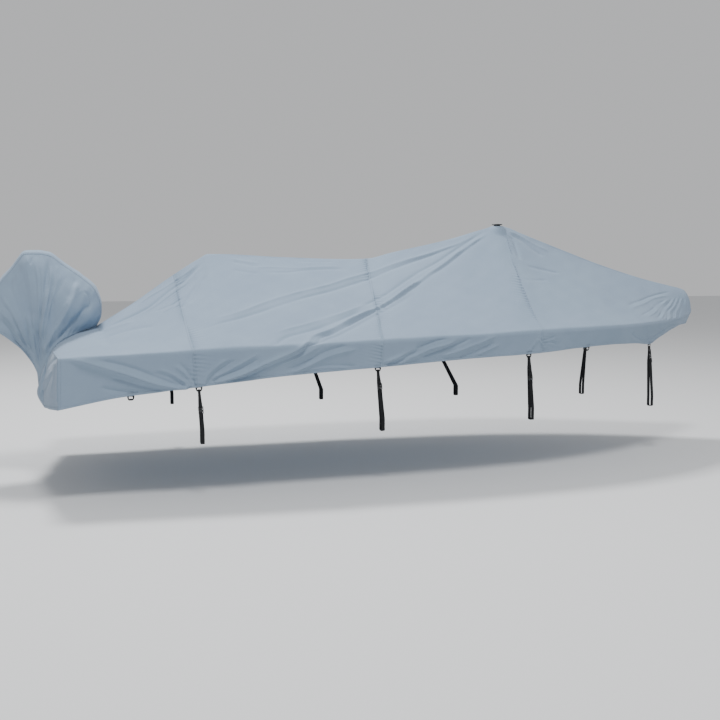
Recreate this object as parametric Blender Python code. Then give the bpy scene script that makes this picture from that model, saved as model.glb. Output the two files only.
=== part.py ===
"""A fitted canvas cover for an open boat, held up along its middle by two poles.

Metres, +Z up, +X to the bow, +Y to port. The origin is under the cloth at its highest point, where
the forward pole's tip pushes it up. Shapes are drawn in the hull's own frame, whose X is 0 at the
transom's corners and whose Z is 0 on the ground, and an empty carries them all to the origin.
"""

import math
from collections import namedtuple

import bmesh
import bpy
import numpy as np
from mathutils import Vector
from mathutils.bvhtree import BVHTree

for old in list(bpy.data.objects):
    bpy.data.objects.remove(old)

CLOTH = 0.0022  # coated canvas with its turned edges
GAP = 0.0003  # between pieces that touch
SEWN_BACK = 0.00025  # how far each of two sewn edges stands back from the seam line
MOST_BACK = 6.0  # a sharp corner of a piece stands back at most this many times as far
WELD = 1e-5
STEP = 0.01  # how far either way along a line its direction is taken
SHARP = math.radians(35)

PEAK_X, PEAK_Z = 3.443, 1.860  # the cloth's outer face over the forward pole
PAD_FLAT, PAD_END = 0.046, 0.13  # radii: the pole tip's flat pad, and where the cloth leaves it

STARBOARD, PORT = -1, 1
SIDES = {"starboard": STARBOARD, "port": PORT}


def table(columns, *rows):
    """Rows of numbers under named columns, as one array for each name."""
    return dict(zip(columns.split(), np.array(rows, float).T))


def smooth(t, key, column, at):
    """A column's value on a smooth curve through its rows, which never swings past them."""
    x, y = t[key], t[column]
    step = np.diff(x)
    slope = np.diff(y) / step
    before, after = slope[:-1], slope[1:]
    same_way = before * after > 0
    total = np.where(same_way, before + after, 1.0)
    at_rows = np.concatenate([slope[:1], np.where(same_way, 2 * before * after / total, 0.0), slope[-1:]])
    i = min(max(int(np.searchsorted(x, at)) - 1, 0), len(step) - 1)
    u = min(max((at - x[i]) / step[i], 0.0), 1.0)
    ease = u * u * (3 - 2 * u)
    return float(
        y[i] * (1 - ease)
        + y[i + 1] * ease
        + step[i] * (at_rows[i] * u * (1 - u) ** 2 - at_rows[i + 1] * u * u * (1 - u))
    )


def eased(low, high, at):
    """0 below low, 1 above high, and a smooth step between."""
    u = min(max((at - low) / (high - low), 0.0), 1.0)
    return u * u * (3 - 2 * u)


# ---- The main cover's lines ------------------------------------------------------------------
# A station is the place along the ridge, in metres from the transom. Each row gives a line's X, its
# distance from the centre plane and its Z there.

RIDGE = table(
    "station z",
    (0.257, 1.095),
    (0.500, 1.246),
    (0.790, 1.448),
    (1.014, 1.590),
    (1.074, 1.620),  # over the aft pole
    (1.165, 1.620),
    (1.620, 1.600),
    (2.150, 1.586),
    (2.320, 1.590),
    (2.520, 1.636),
    (3.030, 1.750),
    (3.300, 1.827),
    (3.443, 1.860),  # over the forward pole
    (3.530, 1.848),
    (3.650, 1.805),
    (4.020, 1.675),
    (4.410, 1.543),
    (4.800, 1.431),
    (5.100, 1.362),
    (5.200, 1.341),
    (5.252, 1.322),
    (5.285, 1.287),
)
GUNWALE = table(
    "station x half z",
    (0.000, -0.010, 0.992, 0.950),
    (0.257, 0.360, 1.024, 0.966),
    (0.820, 0.825, 1.056, 0.983),
    (1.500, 1.420, 1.084, 1.003),
    (2.320, 2.100, 1.090, 1.024),
    (2.900, 2.730, 1.073, 1.042),
    (3.500, 3.350, 1.004, 1.060),
    (4.000, 3.920, 0.862, 1.068),
    (4.400, 4.370, 0.665, 1.072),
    (4.700, 4.700, 0.478, 1.078),
    (4.900, 4.920, 0.342, 1.088),
    (5.050, 5.090, 0.228, 1.102),
    (5.150, 5.203, 0.142, 1.122),
    (5.240, 5.284, 0.072, 1.154),
    (5.285, 5.308, 0.000, 1.178),
)
HEM = table(
    "station x half z",
    (0.000, -0.020, 0.960, 0.616),
    (0.257, 0.360, 0.989, 0.688),
    (0.500, 0.580, 1.004, 0.713),
    (0.820, 0.845, 1.020, 0.741),
    (1.500, 1.420, 1.047, 0.797),
    (2.320, 2.100, 1.054, 0.838),
    (2.900, 2.730, 1.036, 0.876),
    (3.500, 3.360, 0.970, 0.898),
    (3.800, 3.700, 0.892, 0.920),
    (4.100, 4.030, 0.788, 0.930),
    (4.400, 4.360, 0.637, 0.921),
    (4.600, 4.585, 0.500, 0.900),
    (4.700, 4.700, 0.435, 0.935),
    (4.850, 4.860, 0.338, 0.983),
    (5.000, 5.010, 0.232, 1.016),
    (5.120, 5.130, 0.140, 1.031),
    (5.220, 5.228, 0.068, 1.036),
    (5.285, 5.277, 0.000, 1.040),
)
# How far the cloth hangs below a straight line from ridge to gunwale. At the bow it stands above it.
SAG = table(
    "station depth",
    (0.000, 0.000),
    (0.257, 0.008),
    (0.820, 0.030),
    (1.074, 0.038),
    (1.700, 0.022),
    (2.300, 0.022),
    (3.000, 0.036),
    (3.443, 0.050),
    (4.000, 0.036),
    (4.600, 0.014),
    (5.000, -0.010),
    (5.200, -0.022),
    (5.285, -0.006),
)
# The edge of the motor well, where the hood is sewn on: from the centre plane at its front, round the
# side, over the stern's edge at row 8 and down the stern to the centre plane.
WELL = table(
    "row x half z",
    (0, 0.257, 0.000, 1.095),
    (1, 0.242, 0.050, 1.091),
    (2, 0.212, 0.100, 1.084),
    (3, 0.170, 0.150, 1.071),
    (4, 0.119, 0.200, 1.055),
    (5, 0.065, 0.240, 1.033),
    (6, 0.010, 0.265, 1.005),
    (7, -0.030, 0.277, 0.972),
    (8, -0.059, 0.278, 0.936),
    (9, -0.085, 0.265, 0.885),
    (10, -0.110, 0.240, 0.833),
    (11, -0.130, 0.200, 0.780),
    (12, -0.148, 0.150, 0.722),
    (13, -0.155, 0.100, 0.692),
    (14, -0.159, 0.050, 0.677),
    (15, -0.160, 0.000, 0.673),
)
WELL_FRONT, WELL_STERN, WELL_NECK, WELL_END = 2, 8, 14, 15  # rows: gusset's edge, stern's edge, hood's end
WELL_STATION = 0.257  # the ridge starts here
BOW_STATION = 5.285

SEAM_AFT, SEAM_MID, SEAM_FORE = 0.820, 2.320, 3.500  # the three cross seams

# Across a section: 0 is the ridge, 1 is where the gunwale's bend starts, 2 where it ends, 3 the hem.
BEND_START, BEND_END, HEM_AT = 1.0, 2.0, 3.0
BEND_REACH, BEND_SHARE = 0.055, 0.25  # from the gunwale to each end of its bend, and the most of the way
RIDGE_SOFT = 0.035  # how round the ridge is, as a share of the way to the gunwale


def line_point(line, station, side):
    half = smooth(line, "station", "half", station)
    return Vector((smooth(line, "station", "x", station), side * half, smooth(line, "station", "z", station)))


def well_point(row, side):
    half = smooth(WELL, "row", "half", row)
    return Vector((smooth(WELL, "row", "x", row), side * half, smooth(WELL, "row", "z", row)))


def top_line(station, side):
    """The ridge, or beside the motor well its edge."""
    if station < WELL_STATION:
        return well_point(WELL_STERN * (1 - station / WELL_STATION), side)
    return Vector((station, 0, smooth(RIDGE, "station", "z", station)))


def along_gunwale(station, side):
    """The gunwale's way towards the bow. Round the bow's end it runs straight across."""
    if station > BOW_STATION - STEP:
        return Vector((0, -side, 0))
    return line_point(GUNWALE, station + STEP, side) - line_point(GUNWALE, max(station - STEP, 0), side)


def smooth_cover(station, across, side):
    """A point of the main cover with no folds in it."""
    top = top_line(station, side)
    corner = line_point(GUNWALE, station, side)
    hem = line_point(HEM, station, side)
    slope, drop = corner - top, hem - corner
    bend_start = corner - slope.normalized() * min(BEND_REACH, BEND_SHARE * slope.length)
    bend_end = corner + drop.normalized() * min(BEND_REACH, BEND_SHARE * drop.length)
    if across <= BEND_START:
        soft = 0.0 if station < WELL_STATION else RIDGE_SOFT
        share = (math.hypot(across, soft) - soft) / (math.hypot(1, soft) - soft)
        out = slope.cross(along_gunwale(station, side)).normalized() * -side
        depth = smooth(SAG, "station", "depth", station)
        point = top.lerp(bend_start, share) - out * (4 * depth * share * (1 - share))
    elif across <= BEND_END:
        turn = across - BEND_START
        point = bend_start.lerp(corner, turn).lerp(corner.lerp(bend_end, turn), turn)
    else:
        point = bend_end.lerp(hem, across - BEND_END)
    from_pole = math.hypot(point.x - PEAK_X, point.y)
    if from_pole < PAD_END:
        point.z += (PEAK_Z - point.z) * (1 - eased(PAD_FLAT, PAD_END, from_pole))
    return point


# ---- Folds -----------------------------------------------------------------------------------
# A fold runs straight between two places on the cover, each a station and a place across. Its width
# is about half of its breadth, and its height is negative for a trough. It fades towards both ends.

FOLDS = table(
    "side station across to_station to_across width height",
    # the long pull from the aft strap over the gunwale to the main peak, and the trough below it
    (STARBOARD, 0.88, 3.00, 1.86, 1.10, 0.046, 0.020),
    (STARBOARD, 1.40, 1.72, 2.66, 0.46, 0.050, 0.022),
    (STARBOARD, 2.10, 0.80, 3.46, 0.03, 0.050, 0.020),
    (STARBOARD, 1.60, 1.60, 2.52, 0.66, 0.056, -0.020),
    # soft troughs above it
    (STARBOARD, 0.86, 0.82, 2.10, 0.40, 0.060, -0.014),
    (STARBOARD, 1.60, 0.58, 3.42, 0.04, 0.058, -0.014),
    (STARBOARD, 1.20, 0.96, 2.38, 0.64, 0.055, -0.011),
    (STARBOARD, 1.35, 0.20, 2.25, 0.13, 0.056, -0.012),
    # pulls that fan out from the aft strap's tab
    (STARBOARD, 0.84, 3.00, 0.06, 1.75, 0.040, 0.015),
    (STARBOARD, 0.70, 2.45, 0.06, 1.45, 0.044, -0.012),
    (STARBOARD, 0.88, 3.00, 1.32, 1.70, 0.036, 0.012),
    (STARBOARD, 0.96, 3.00, 1.36, 2.25, 0.034, 0.009),
    # slack in the skirt
    (STARBOARD, 1.42, 2.80, 2.08, 1.70, 0.044, 0.012),
    (STARBOARD, 2.30, 2.90, 2.92, 1.45, 0.042, 0.012),
    (STARBOARD, 2.76, 3.00, 3.26, 2.00, 0.040, 0.010),
    # pulls from the main peak, the aft peak and the bow's corner
    (STARBOARD, 3.42, 0.04, 2.42, 0.23, 0.046, 0.010),
    (STARBOARD, 3.42, 0.04, 2.45, 0.52, 0.052, -0.014),
    (STARBOARD, 1.06, 0.04, 0.56, 0.26, 0.044, -0.011),
    (STARBOARD, 1.04, 0.06, 0.80, 0.52, 0.044, -0.011),
    (STARBOARD, 5.12, 0.25, 4.34, 0.84, 0.036, 0.011),
    (STARBOARD, 5.16, 0.40, 4.70, 1.35, 0.034, 0.011),
    (STARBOARD, 5.14, 0.30, 4.56, 1.05, 0.034, -0.010),
    (PORT, 0.90, 3.00, 1.94, 1.06, 0.046, 0.018),
    (PORT, 1.50, 1.66, 2.78, 0.46, 0.054, 0.016),
    (PORT, 2.20, 0.78, 3.46, 0.03, 0.052, 0.016),
    (PORT, 1.72, 1.60, 2.60, 0.68, 0.062, -0.014),
    (PORT, 0.90, 0.76, 2.20, 0.36, 0.060, -0.014),
    (PORT, 1.70, 0.54, 3.42, 0.04, 0.058, -0.013),
    (PORT, 0.84, 3.00, 0.10, 1.68, 0.040, 0.014),
    (PORT, 0.92, 3.00, 1.30, 1.85, 0.036, 0.011),
    (PORT, 2.22, 2.85, 2.86, 1.50, 0.042, 0.012),
    (PORT, 2.70, 3.00, 3.30, 1.80, 0.040, 0.010),
    (PORT, 3.42, 0.04, 2.50, 0.58, 0.052, -0.014),
    (PORT, 1.05, 0.05, 0.68, 0.42, 0.044, -0.011),
    (PORT, 5.12, 0.28, 4.40, 0.90, 0.036, 0.011),
    (PORT, 5.14, 0.34, 4.66, 1.30, 0.034, -0.010),
)
# Folds of the stern panel, each between two places seen from behind.
STERN_FOLDS = table(
    "side y z to_y to_z width height",
    (STARBOARD, 0.98, 0.93, 0.42, 0.58, 0.040, 0.016),
    (STARBOARD, 0.60, 0.92, 0.30, 0.60, 0.045, -0.012),
    (PORT, 0.97, 0.92, 0.50, 0.60, 0.042, 0.015),
    (PORT, 0.52, 0.92, 0.26, 0.62, 0.045, -0.012),
)


class Fold:
    """A long soft ridge or trough in the cloth between two points."""

    def __init__(self, start, end, width, height):
        self.start, self.way = start, end - start
        self.width, self.height = width, height

    def share(self, point):
        return min(max((point - self.start).dot(self.way) / self.way.length_squared, 0.0), 1.0)

    def off(self, point, normal):
        """How far along the cloth a point is from the fold's line."""
        off = point - self.start - self.way * self.share(point)
        return (off - normal * off.dot(normal)).length

    def lift(self, point, normal):
        share = self.share(point)
        fade = eased(-0.02, 0.22, share) * (1 - eased(0.74, 1.02, share))
        return self.height * fade / math.cosh(self.off(point, normal) / self.width) ** 2


def lay_folds():
    """The folds of each side's half of the cover, and of the stern."""
    cover, stern = {STARBOARD: [], PORT: []}, {STARBOARD: [], PORT: []}
    for side, station, across, to_station, to_across, width, height in zip(*FOLDS.values()):
        start = smooth_cover(station, across, side)
        end = smooth_cover(to_station, to_across, side)
        cover[side].append(Fold(start, end, width, height))
    for side, y, z, to_y, to_z, width, height in zip(*STERN_FOLDS.values()):
        stern[side].append(Fold(Vector((0, side * y, z)), Vector((0, side * to_y, to_z)), width, height))
    return cover, stern


COVER_FOLDS, STERN_LAID = lay_folds()
RIDGE_FREE = 0.04  # folds fade out this near the ridge, in shares of the way across
STERN_FREE, CORNER_FREE = 0.06, 0.03  # and this near the stern's edge, on top and below the gunwale
BOW_FREE = 5.14  # and past this station, where the two sides close


def smooth_normal(station, across, side):
    """The way out of the main cover, with no folds in it."""
    back, on = max(station - STEP, 0), min(station + STEP, BOW_STATION)
    up, down = max(across - STEP, 0), min(across + STEP, HEM_AT)
    along = smooth_cover(on, across, side) - smooth_cover(back, across, side)
    downward = smooth_cover(station, down, side) - smooth_cover(station, up, side)
    return (downward.cross(along) * -side).normalized()


def cover_point(station, across, side):
    """A point of the main cover's outer face, folds and all."""
    point = smooth_cover(station, across, side)
    normal = smooth_normal(station, across, side)
    lift = sum(fold.lift(point, normal) for fold in COVER_FOLDS[side])
    free = eased(0, RIDGE_FREE, across) * (1 - eased(BOW_FREE, BOW_STATION, station))
    free *= eased(0, STERN_FREE if across < BEND_START else CORNER_FREE, station)
    free *= eased(PAD_FLAT, PAD_END, math.hypot(point.x - PEAK_X, point.y))
    return point + normal * (lift * free)


# ---- The flat sheet of the main cover ----------------------------------------------------------


def steps(*stretches):
    """Stations from (start, end, count) stretches laid end to end."""
    return [start + (end - start) * i / count for start, end, count in stretches for i in range(count)]


STATIONS = steps(
    (0.0, WELL_STATION, 8),
    (WELL_STATION, SEAM_AFT, 5),
    (SEAM_AFT, 1.074, 2),
    (1.074, 1.19, 1),
    (1.19, SEAM_MID, 8),
    (SEAM_MID, 3.37, 8),
    (3.37, PEAK_X, 1),
    (PEAK_X, SEAM_FORE, 1),
    (SEAM_FORE, 3.57, 1),
    (3.57, 4.85, 9),
    (4.85, 5.15, 4),
    (5.15, BOW_STATION, 4),
) + [BOW_STATION]
FINER = ((0.046, 0.0), (0.030, 0.0135))  # (how near a fold the sheet is cut finer, the least fold)
ACROSS = [i / 8 for i in range(8)] + [BEND_START, 1.5, BEND_END, 2.36, 2.72, HEM_AT]


def flat_sheet():
    """A grid whose X is the station and whose Y is the place across, negative to starboard."""
    bm = bmesh.new()
    rows = [-a for a in reversed(ACROSS[1:])] + ACROSS
    bmesh.ops.create_grid(bm, x_segments=len(STATIONS) - 1, y_segments=len(rows) - 1, size=0.5)
    for vert in bm.verts:
        i = round((vert.co.x + 0.5) * (len(STATIONS) - 1))
        j = round((vert.co.y + 0.5) * (len(rows) - 1))
        vert.co = (STATIONS[i], rows[j], 0)
    slit = [e for e in bm.edges if all(v.co.y == 0 and v.co.x <= WELL_STATION + WELD for v in e.verts)]
    bmesh.ops.split_edges(bm, edges=slit)
    for reach, least in FINER:
        near = edges_near_folds(bm, reach, least)
        bmesh.ops.subdivide_edges(bm, edges=near, cuts=1, use_grid_fill=True)
    return bm


def edges_near_folds(bm, reach, least):
    """The edges of the flat sheet that a fold or the main peak's pad needs finer."""
    near = []
    for edge in bm.edges:
        middle = (edge.verts[0].co + edge.verts[1].co) / 2
        if edge.is_boundary and abs(middle.y) != HEM_AT:
            continue
        side = STARBOARD if middle.y < 0 else PORT
        point = smooth_cover(middle.x, abs(middle.y), side)
        normal = smooth_normal(middle.x, abs(middle.y), side)
        on_pad = math.hypot(point.x - PEAK_X, point.y) < PAD_FLAT + reach
        folds = [fold for fold in COVER_FOLDS[side] if abs(fold.height) >= least and middle.y]
        if on_pad or any(fold.off(point, normal) < reach for fold in folds):
            near.append(edge)
    return near


def side_of(vert):
    """The side of the centre plane that a vertex belongs to, also on the edge of the motor well."""
    middle = sum(face.calc_center_median().y for face in vert.link_faces)
    return STARBOARD if middle < 0 else PORT


def place_cover(bm):
    sides = [side_of(vert) for vert in bm.verts]
    for vert, side in zip(bm.verts, sides):
        vert.co = cover_point(vert.co.x, abs(vert.co.y), side)


# ---- Stern and hood ----------------------------------------------------------------------------

STERN_HEM_DROP = 0.095  # the stern's hem is lower at its middle than at its corners
STERN_HEM_BACK = 0.105  # and further aft
STERN_BELLY = 0.028
STERN_ROWS = [1.5, BEND_END, 2.36, 2.72, HEM_AT]  # places across the corner's section, from its bend down
STERN_COLUMNS = [("edge", a) for a in [1.5, BEND_START] + ACROSS[7::-1]] + [
    ("well", row) for row in range(WELL_STERN + 1, WELL_END + 1)
]


def stern_point(column, row, side):
    """A point of the stern: a column hangs from the stern's edge or from the well, a row goes down."""
    kind, at = STERN_COLUMNS[column]
    top = smooth_cover(0, at, side) if kind == "edge" else well_point(at, side)
    corner_top = smooth_cover(0, STERN_ROWS[0], side)
    corner_hem = smooth_cover(0, HEM_AT, side)
    corner = smooth_cover(0, STERN_ROWS[row], side)
    share = (corner_top - corner).length / (corner_top - corner_hem).length
    inward = 1 - abs(top.y) / abs(corner_top.y)
    middle = 1 - (1 - inward) ** 2
    hem = Vector((corner_hem.x - STERN_HEM_BACK * middle, 0, corner_hem.z - STERN_HEM_DROP * inward))
    hem.y = top.y * abs(corner_hem.y) / abs(corner_top.y)
    point = top.lerp(hem, share)
    point += (corner - corner_top.lerp(corner_hem, share)) * (1 - inward) ** 4
    flat = Vector((0, point.y, point.z))
    folds = sum(fold.lift(flat, Vector((-1, 0, 0))) for fold in STERN_LAID[side])
    belly = STERN_BELLY * 4 * share * (1 - share) * middle
    point.x -= belly + folds * eased(0, 0.2, share) * eased(0, 0.08, inward)
    return point


# The hood's outline in the centre plane. A pleat is how far the fold that fans out from the neck to
# that row stands out of the hood's side.
HOOD_TOP = table(
    "row x z pleat",
    (2, 0.257, 1.095, 0.000),
    (3, 0.287, 1.160, 0.000),
    (4, 0.299, 1.250, 0.006),
    (5, 0.262, 1.370, -0.010),
    (6, 0.165, 1.466, 0.012),
    (7, 0.050, 1.550, 0.004),
    (8, -0.060, 1.628, -0.014),
    (9, -0.145, 1.640, 0.008),
    (10, -0.226, 1.636, 0.004),
    (11, -0.327, 1.520, -0.010),
    (12, -0.430, 1.396, 0.008),
    (13, -0.520, 1.288, -0.010),
    (14, -0.583, 1.199, 0.000),
)
GUSSET_HALF = 0.100
GUSSET_CROWN = 0.014
HOOD_BELLY = 0.125
# How far the mouth's hem stands off a straight line from the centre strip to the neck.
MOUTH = table(
    "share rise",
    (0.00, 0.000),
    (0.08, 0.012),
    (0.18, 0.030),
    (0.30, 0.050),
    (0.45, 0.074),
    (0.60, 0.088),
    (0.75, 0.080),
    (0.88, 0.054),
    (1.00, 0.000),
)
MOUTH_LEAN = Vector((0.776, 0, 0.630))  # the way it stands off


def gusset_point(row, y):
    """A point of the hood's centre strip, y metres from the centre plane."""
    if row == WELL_FRONT:
        return well_point(abs(y) / GUSSET_HALF * WELL_FRONT, PORT if y > 0 else STARBOARD)
    back, on = max(row - 1, 2), min(row + 1, WELL_NECK)
    x, z = (smooth(HOOD_TOP, "row", c, row) for c in "xz")
    along_x, along_z = (smooth(HOOD_TOP, "row", c, on) - smooth(HOOD_TOP, "row", c, back) for c in "xz")
    size = math.hypot(along_x, along_z)
    low = GUSSET_CROWN * (y / GUSSET_HALF) ** 2
    return Vector((x - low * along_z / size, y, z + low * along_x / size))


def hood_point(row, share, side):
    """A point of the hood's side, share of the way from the centre strip down to the well or the mouth."""
    top = gusset_point(row, side * GUSSET_HALF)
    foot = well_point(row, side)
    point = top.lerp(foot, share)
    long = min((top - foot).length / 0.45, 1.0)
    swell = math.sin(math.pi * min(max(share, 0), 1))
    pleat = smooth(HOOD_TOP, "row", "pleat", row) * swell
    point.y += side * (HOOD_BELLY * long * max(swell, 0) ** 0.6 + pleat)
    to_mouth = (row - WELL_FRONT) / (WELL_NECK - WELL_FRONT)
    return point + MOUTH_LEAN * smooth(MOUTH, "share", "rise", share) * to_mouth**2


# ---- One skin, then its pieces -----------------------------------------------------------------

PIECES = [
    "panel_aft",
    "panel_mid",
    "panel_fore",
    "panel_bow",
    "panel_stern",
    "hood_side_starboard",
    "hood_side_port",
    "hood_gusset",
]


def panel_at(station):
    for name, seam in (("panel_aft", SEAM_AFT), ("panel_mid", SEAM_MID), ("panel_fore", SEAM_FORE)):
        if station < seam:
            return name
    return "panel_bow"


def add_patch(skin, piece, columns, rows, place):
    """A grid of cloth whose points come from place(column, row)."""
    made = bmesh.ops.create_grid(skin, x_segments=columns, y_segments=rows, size=0.5)["verts"]
    for vert in made:
        column = round((vert.co.x + 0.5) * columns)
        row = round((vert.co.y + 0.5) * rows)
        vert.co = place(column, row)
    layer = skin.faces.layers.int["piece"]
    for face in {face for vert in made for face in vert.link_faces}:
        face[layer] = PIECES.index(piece)


def whole_skin():
    """The outer face of all the cloth, welded along its seams, its faces marked with their pieces."""
    skin = flat_sheet()
    layer = skin.faces.layers.int.new("piece")
    for face in skin.faces:
        face[layer] = PIECES.index(panel_at(face.calc_center_median().x))
    place_cover(skin)

    last = len(STERN_COLUMNS) - 1
    for side in SIDES.values():
        add_patch(
            skin, "panel_stern", last, len(STERN_ROWS) - 1, lambda c, r, side=side: stern_point(c, r, side)
        )
    well_rows = WELL_NECK - WELL_FRONT
    for name, side in SIDES.items():
        add_patch(
            skin,
            f"hood_side_{name}",
            well_rows,
            len(MOUTH["share"]) - 1,
            lambda c, r, side=side: hood_point(WELL_FRONT + c, MOUTH["share"][r], side),
        )
    add_patch(
        skin,
        "hood_gusset",
        well_rows,
        4,
        lambda c, r: gusset_point(WELL_FRONT + c, GUSSET_HALF * (r - 2) / 2),
    )
    bmesh.ops.remove_doubles(skin, verts=skin.verts, dist=WELD)
    bmesh.ops.dissolve_degenerate(skin, edges=skin.edges, dist=WELD)
    bmesh.ops.triangulate(skin, faces=skin.faces, quad_method="SHORT_EDGE")
    bmesh.ops.recalc_face_normals(skin, faces=skin.faces)
    highest = max(skin.verts, key=lambda v: v.co.z)
    if highest.link_faces[0].normal.z < 0:
        bmesh.ops.reverse_faces(skin, faces=skin.faces)
    skin.normal_update()
    return skin


def material(name, colour, roughness):
    made = bpy.data.materials.new(name)
    made.use_nodes = True
    made.diffuse_color = (*colour, 1)
    shader = made.node_tree.nodes["Principled BSDF"]
    shader.inputs["Base Color"].default_value = (*colour, 1)
    shader.inputs["Roughness"].default_value = roughness
    return made


CANVAS = material("blue_grey_canvas", (0.36, 0.43, 0.50), 0.85)
WEBBING = material("black_webbing", (0.02, 0.02, 0.022), 0.75)
PLASTIC = material("black_plastic", (0.015, 0.015, 0.016), 0.45)

HULL = bpy.data.objects.new("hull_frame", None)
HULL.location = (-PEAK_X, 0, CLOTH - PEAK_Z)
bpy.context.scene.collection.objects.link(HULL)


def add_object(name, bm, finish):
    mesh = bpy.data.meshes.new(name)
    bm.to_mesh(mesh)
    bm.free()
    mesh.shade_smooth()
    mesh.set_sharp_from_angle(angle=SHARP)
    mesh.materials.append(finish)
    made = bpy.data.objects.new(name, mesh)
    made.parent = HULL
    bpy.context.scene.collection.objects.link(made)
    return made


def stand_back(bm, sewn, out):
    """Moves a piece's sewn edges into its own cloth, square to each seam."""
    bm.normal_update()
    square = {vert: [] for vert in sewn}
    for edge in bm.edges:
        if edge.is_boundary and sewn.issuperset(edge.verts):
            face = edge.link_faces[0]
            inward = face.normal.cross(edge.verts[1].co - edge.verts[0].co).normalized()
            if inward.dot(face.calc_center_median() - edge.verts[0].co) < 0:
                inward.negate()
            for vert in edge.verts:
                square[vert].append(inward - vert[out] * inward.dot(vert[out]))
    for vert, ways in square.items():
        way = sum(ways, Vector()).normalized()
        closest = min((way.dot(w.normalized()) for w in ways), default=1)
        vert.co += way * (SEWN_BACK / max(closest, 1 / MOST_BACK))


def thicken(bm, out, thick):
    """Gives a sheet its thickness, inwards along the ways out that its vertices store."""
    inner = bmesh.ops.extrude_face_region(bm, geom=bm.faces[:])["geom"]
    for vert in inner:
        if isinstance(vert, bmesh.types.BMVert):
            vert.co -= vert[out] * thick
    bmesh.ops.recalc_face_normals(bm, faces=bm.faces)


def cut_piece(skin, name):
    """One piece of the skin with its thickness, its sewn edges standing back from the seam lines."""
    layer = skin.faces.layers.int["piece"]
    number = PIECES.index(name)
    sewn = {v.index for v in skin.verts if len({f[layer] for f in v.link_faces}) > 1}
    bm = bmesh.new()
    out = bm.verts.layers.float_vector.new("out")
    copies = {}
    for face in skin.faces:
        if face[layer] != number:
            continue
        for vert in face.verts:
            if vert.index not in copies:
                copies[vert.index] = bm.verts.new(vert.co)
                copies[vert.index][out] = vert.normal
        bm.faces.new([copies[vert.index] for vert in face.verts])
    stand_back(bm, {copies[index] for index in sewn & copies.keys()}, out)
    thicken(bm, out, CLOTH)
    return add_object(name, bm, CANVAS)


SKIN = whole_skin()
SKIN.verts.index_update()
CLOTHS = [cut_piece(SKIN, piece_name) for piece_name in PIECES]


# ---- Pole cap ----------------------------------------------------------------------------------

CAP_SIDES = 18
CAP_PROFILE = table(
    "radius z",
    (0.0000, 0.0000),
    (0.0250, 0.0000),
    (0.0260, 0.0010),
    (0.0260, 0.0075),
    (0.0420, 0.0075),
    (0.0435, 0.0090),
    (0.0435, 0.0115),
    (0.0410, 0.0138),
    (0.0220, 0.0156),
    (0.0000, 0.0162),
)


def add_cap():
    """A disc on a short collar, turned about the pole's line."""
    bm = bmesh.new()
    base = Vector((PEAK_X, 0, PEAK_Z + GAP))
    points = [bm.verts.new(base + Vector((r, 0, z))) for r, z in zip(*CAP_PROFILE.values())]
    edges = [bm.edges.new(pair) for pair in zip(points, points[1:])]
    bmesh.ops.spin(
        bm,
        geom=points + edges,
        cent=base,
        axis=(0, 0, 1),
        angle=math.tau,
        steps=CAP_SIDES,
        use_merge=True,
    )
    bmesh.ops.remove_doubles(bm, verts=bm.verts, dist=WELD)
    bmesh.ops.recalc_face_normals(bm, faces=bm.faces)
    add_object("pole_cap", bm, PLASTIC)


add_cap()

# ---- Tabs, straps and buckles ------------------------------------------------------------------

# Outlines are half widths and distances down the piece, for one side of it.
TAB_THICK = 0.0024
TAB_HALF = 0.023
TAB_SEWN = 0.025  # the part behind the hem
TAB_OUTLINE = [(TAB_HALF, 0), (0.023, 0.014), (0.017, 0.030), (0.011, 0.034)]
TAB_HOLE = [(0.012, 0.008), (0.012, 0.021), (0.0105, 0.023)]
TAB_SHARES = (0.15, 1.0)  # where up its sewn part a tab is held clear of the cloth
SKIRT_STEP = 0.4  # how far up the skirt its slope is taken

STRAP_THICK, STRAP_WIDE = 0.0020, 0.025
GATHERED_THICK, GATHERED_WIDE = 0.0033, 0.017  # where the strap passes through its tab
GATHERED_END, SPREAD_END = 0.020, 0.130  # from the tab's bar to where it starts to spread, and is flat
TURN_RADIUS = 0.006  # of the strap's middle round the tab's bar
BAR_AT = 0.0266  # the centre of that turn, below the hem
LEAD = 0.012  # how far the strap runs straight off that turn
RAIL_HALF_WIDE, RAIL_HALF_HIGH, RAIL_ROUND = 0.026, 0.045, 0.012

BUCKLE_OUTLINE = [(0.018, -0.024), (0.018, -0.008), (0.014, -0.004)]
BUCKLE_OUTLINE += [(half, -down) for half, down in reversed(BUCKLE_OUTLINE)]
BUCKLE_HALF_LONG, BUCKLE_THICK, BUCKLE_EDGE = 0.024, 0.010, 0.0015

# Six tabs a side, numbered from the stern, each with its place along the hem. A strap turns round the
# rail at the X of its middle, its distance from the centre plane and its Z. Its buckle is a share of
# the way down the outer strand.
Strap = namedtuple("Strap", "rail_x rail_half rail_z buckle_share")
TABS = {
    "1": (0.430, None),
    "2": (0.862, Strap(0.884, 0.980, 0.405, 0.46)),
    "3": (2.076, Strap(2.170, 0.860, 0.410, 0.30)),
    "4": (3.251, Strap(3.400, 0.740, 0.415, 0.38)),
    "5": (3.800, None),
    "6": (4.585, Strap(4.655, 0.420, 0.425, 0.16)),
}
PORT_RAIL_X = {"6": 4.500}  # a strap that leans otherwise on the port side

Seat = namedtuple("Seat", "hem along down out side")
CLOTH_TREES = [BVHTree.FromObject(cloth, bpy.context.evaluated_depsgraph_get()) for cloth in CLOTHS]
REACH = 0.1  # how far inside the hem the cloth is looked for


def station_at(line, x):
    """The station where a line reaches a given X."""
    low, high = 0.0, BOW_STATION
    while high - low > WELD:
        middle = (low + high) / 2
        low, high = (middle, high) if smooth(line, "station", "x", middle) < x else (low, middle)
    return low


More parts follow.
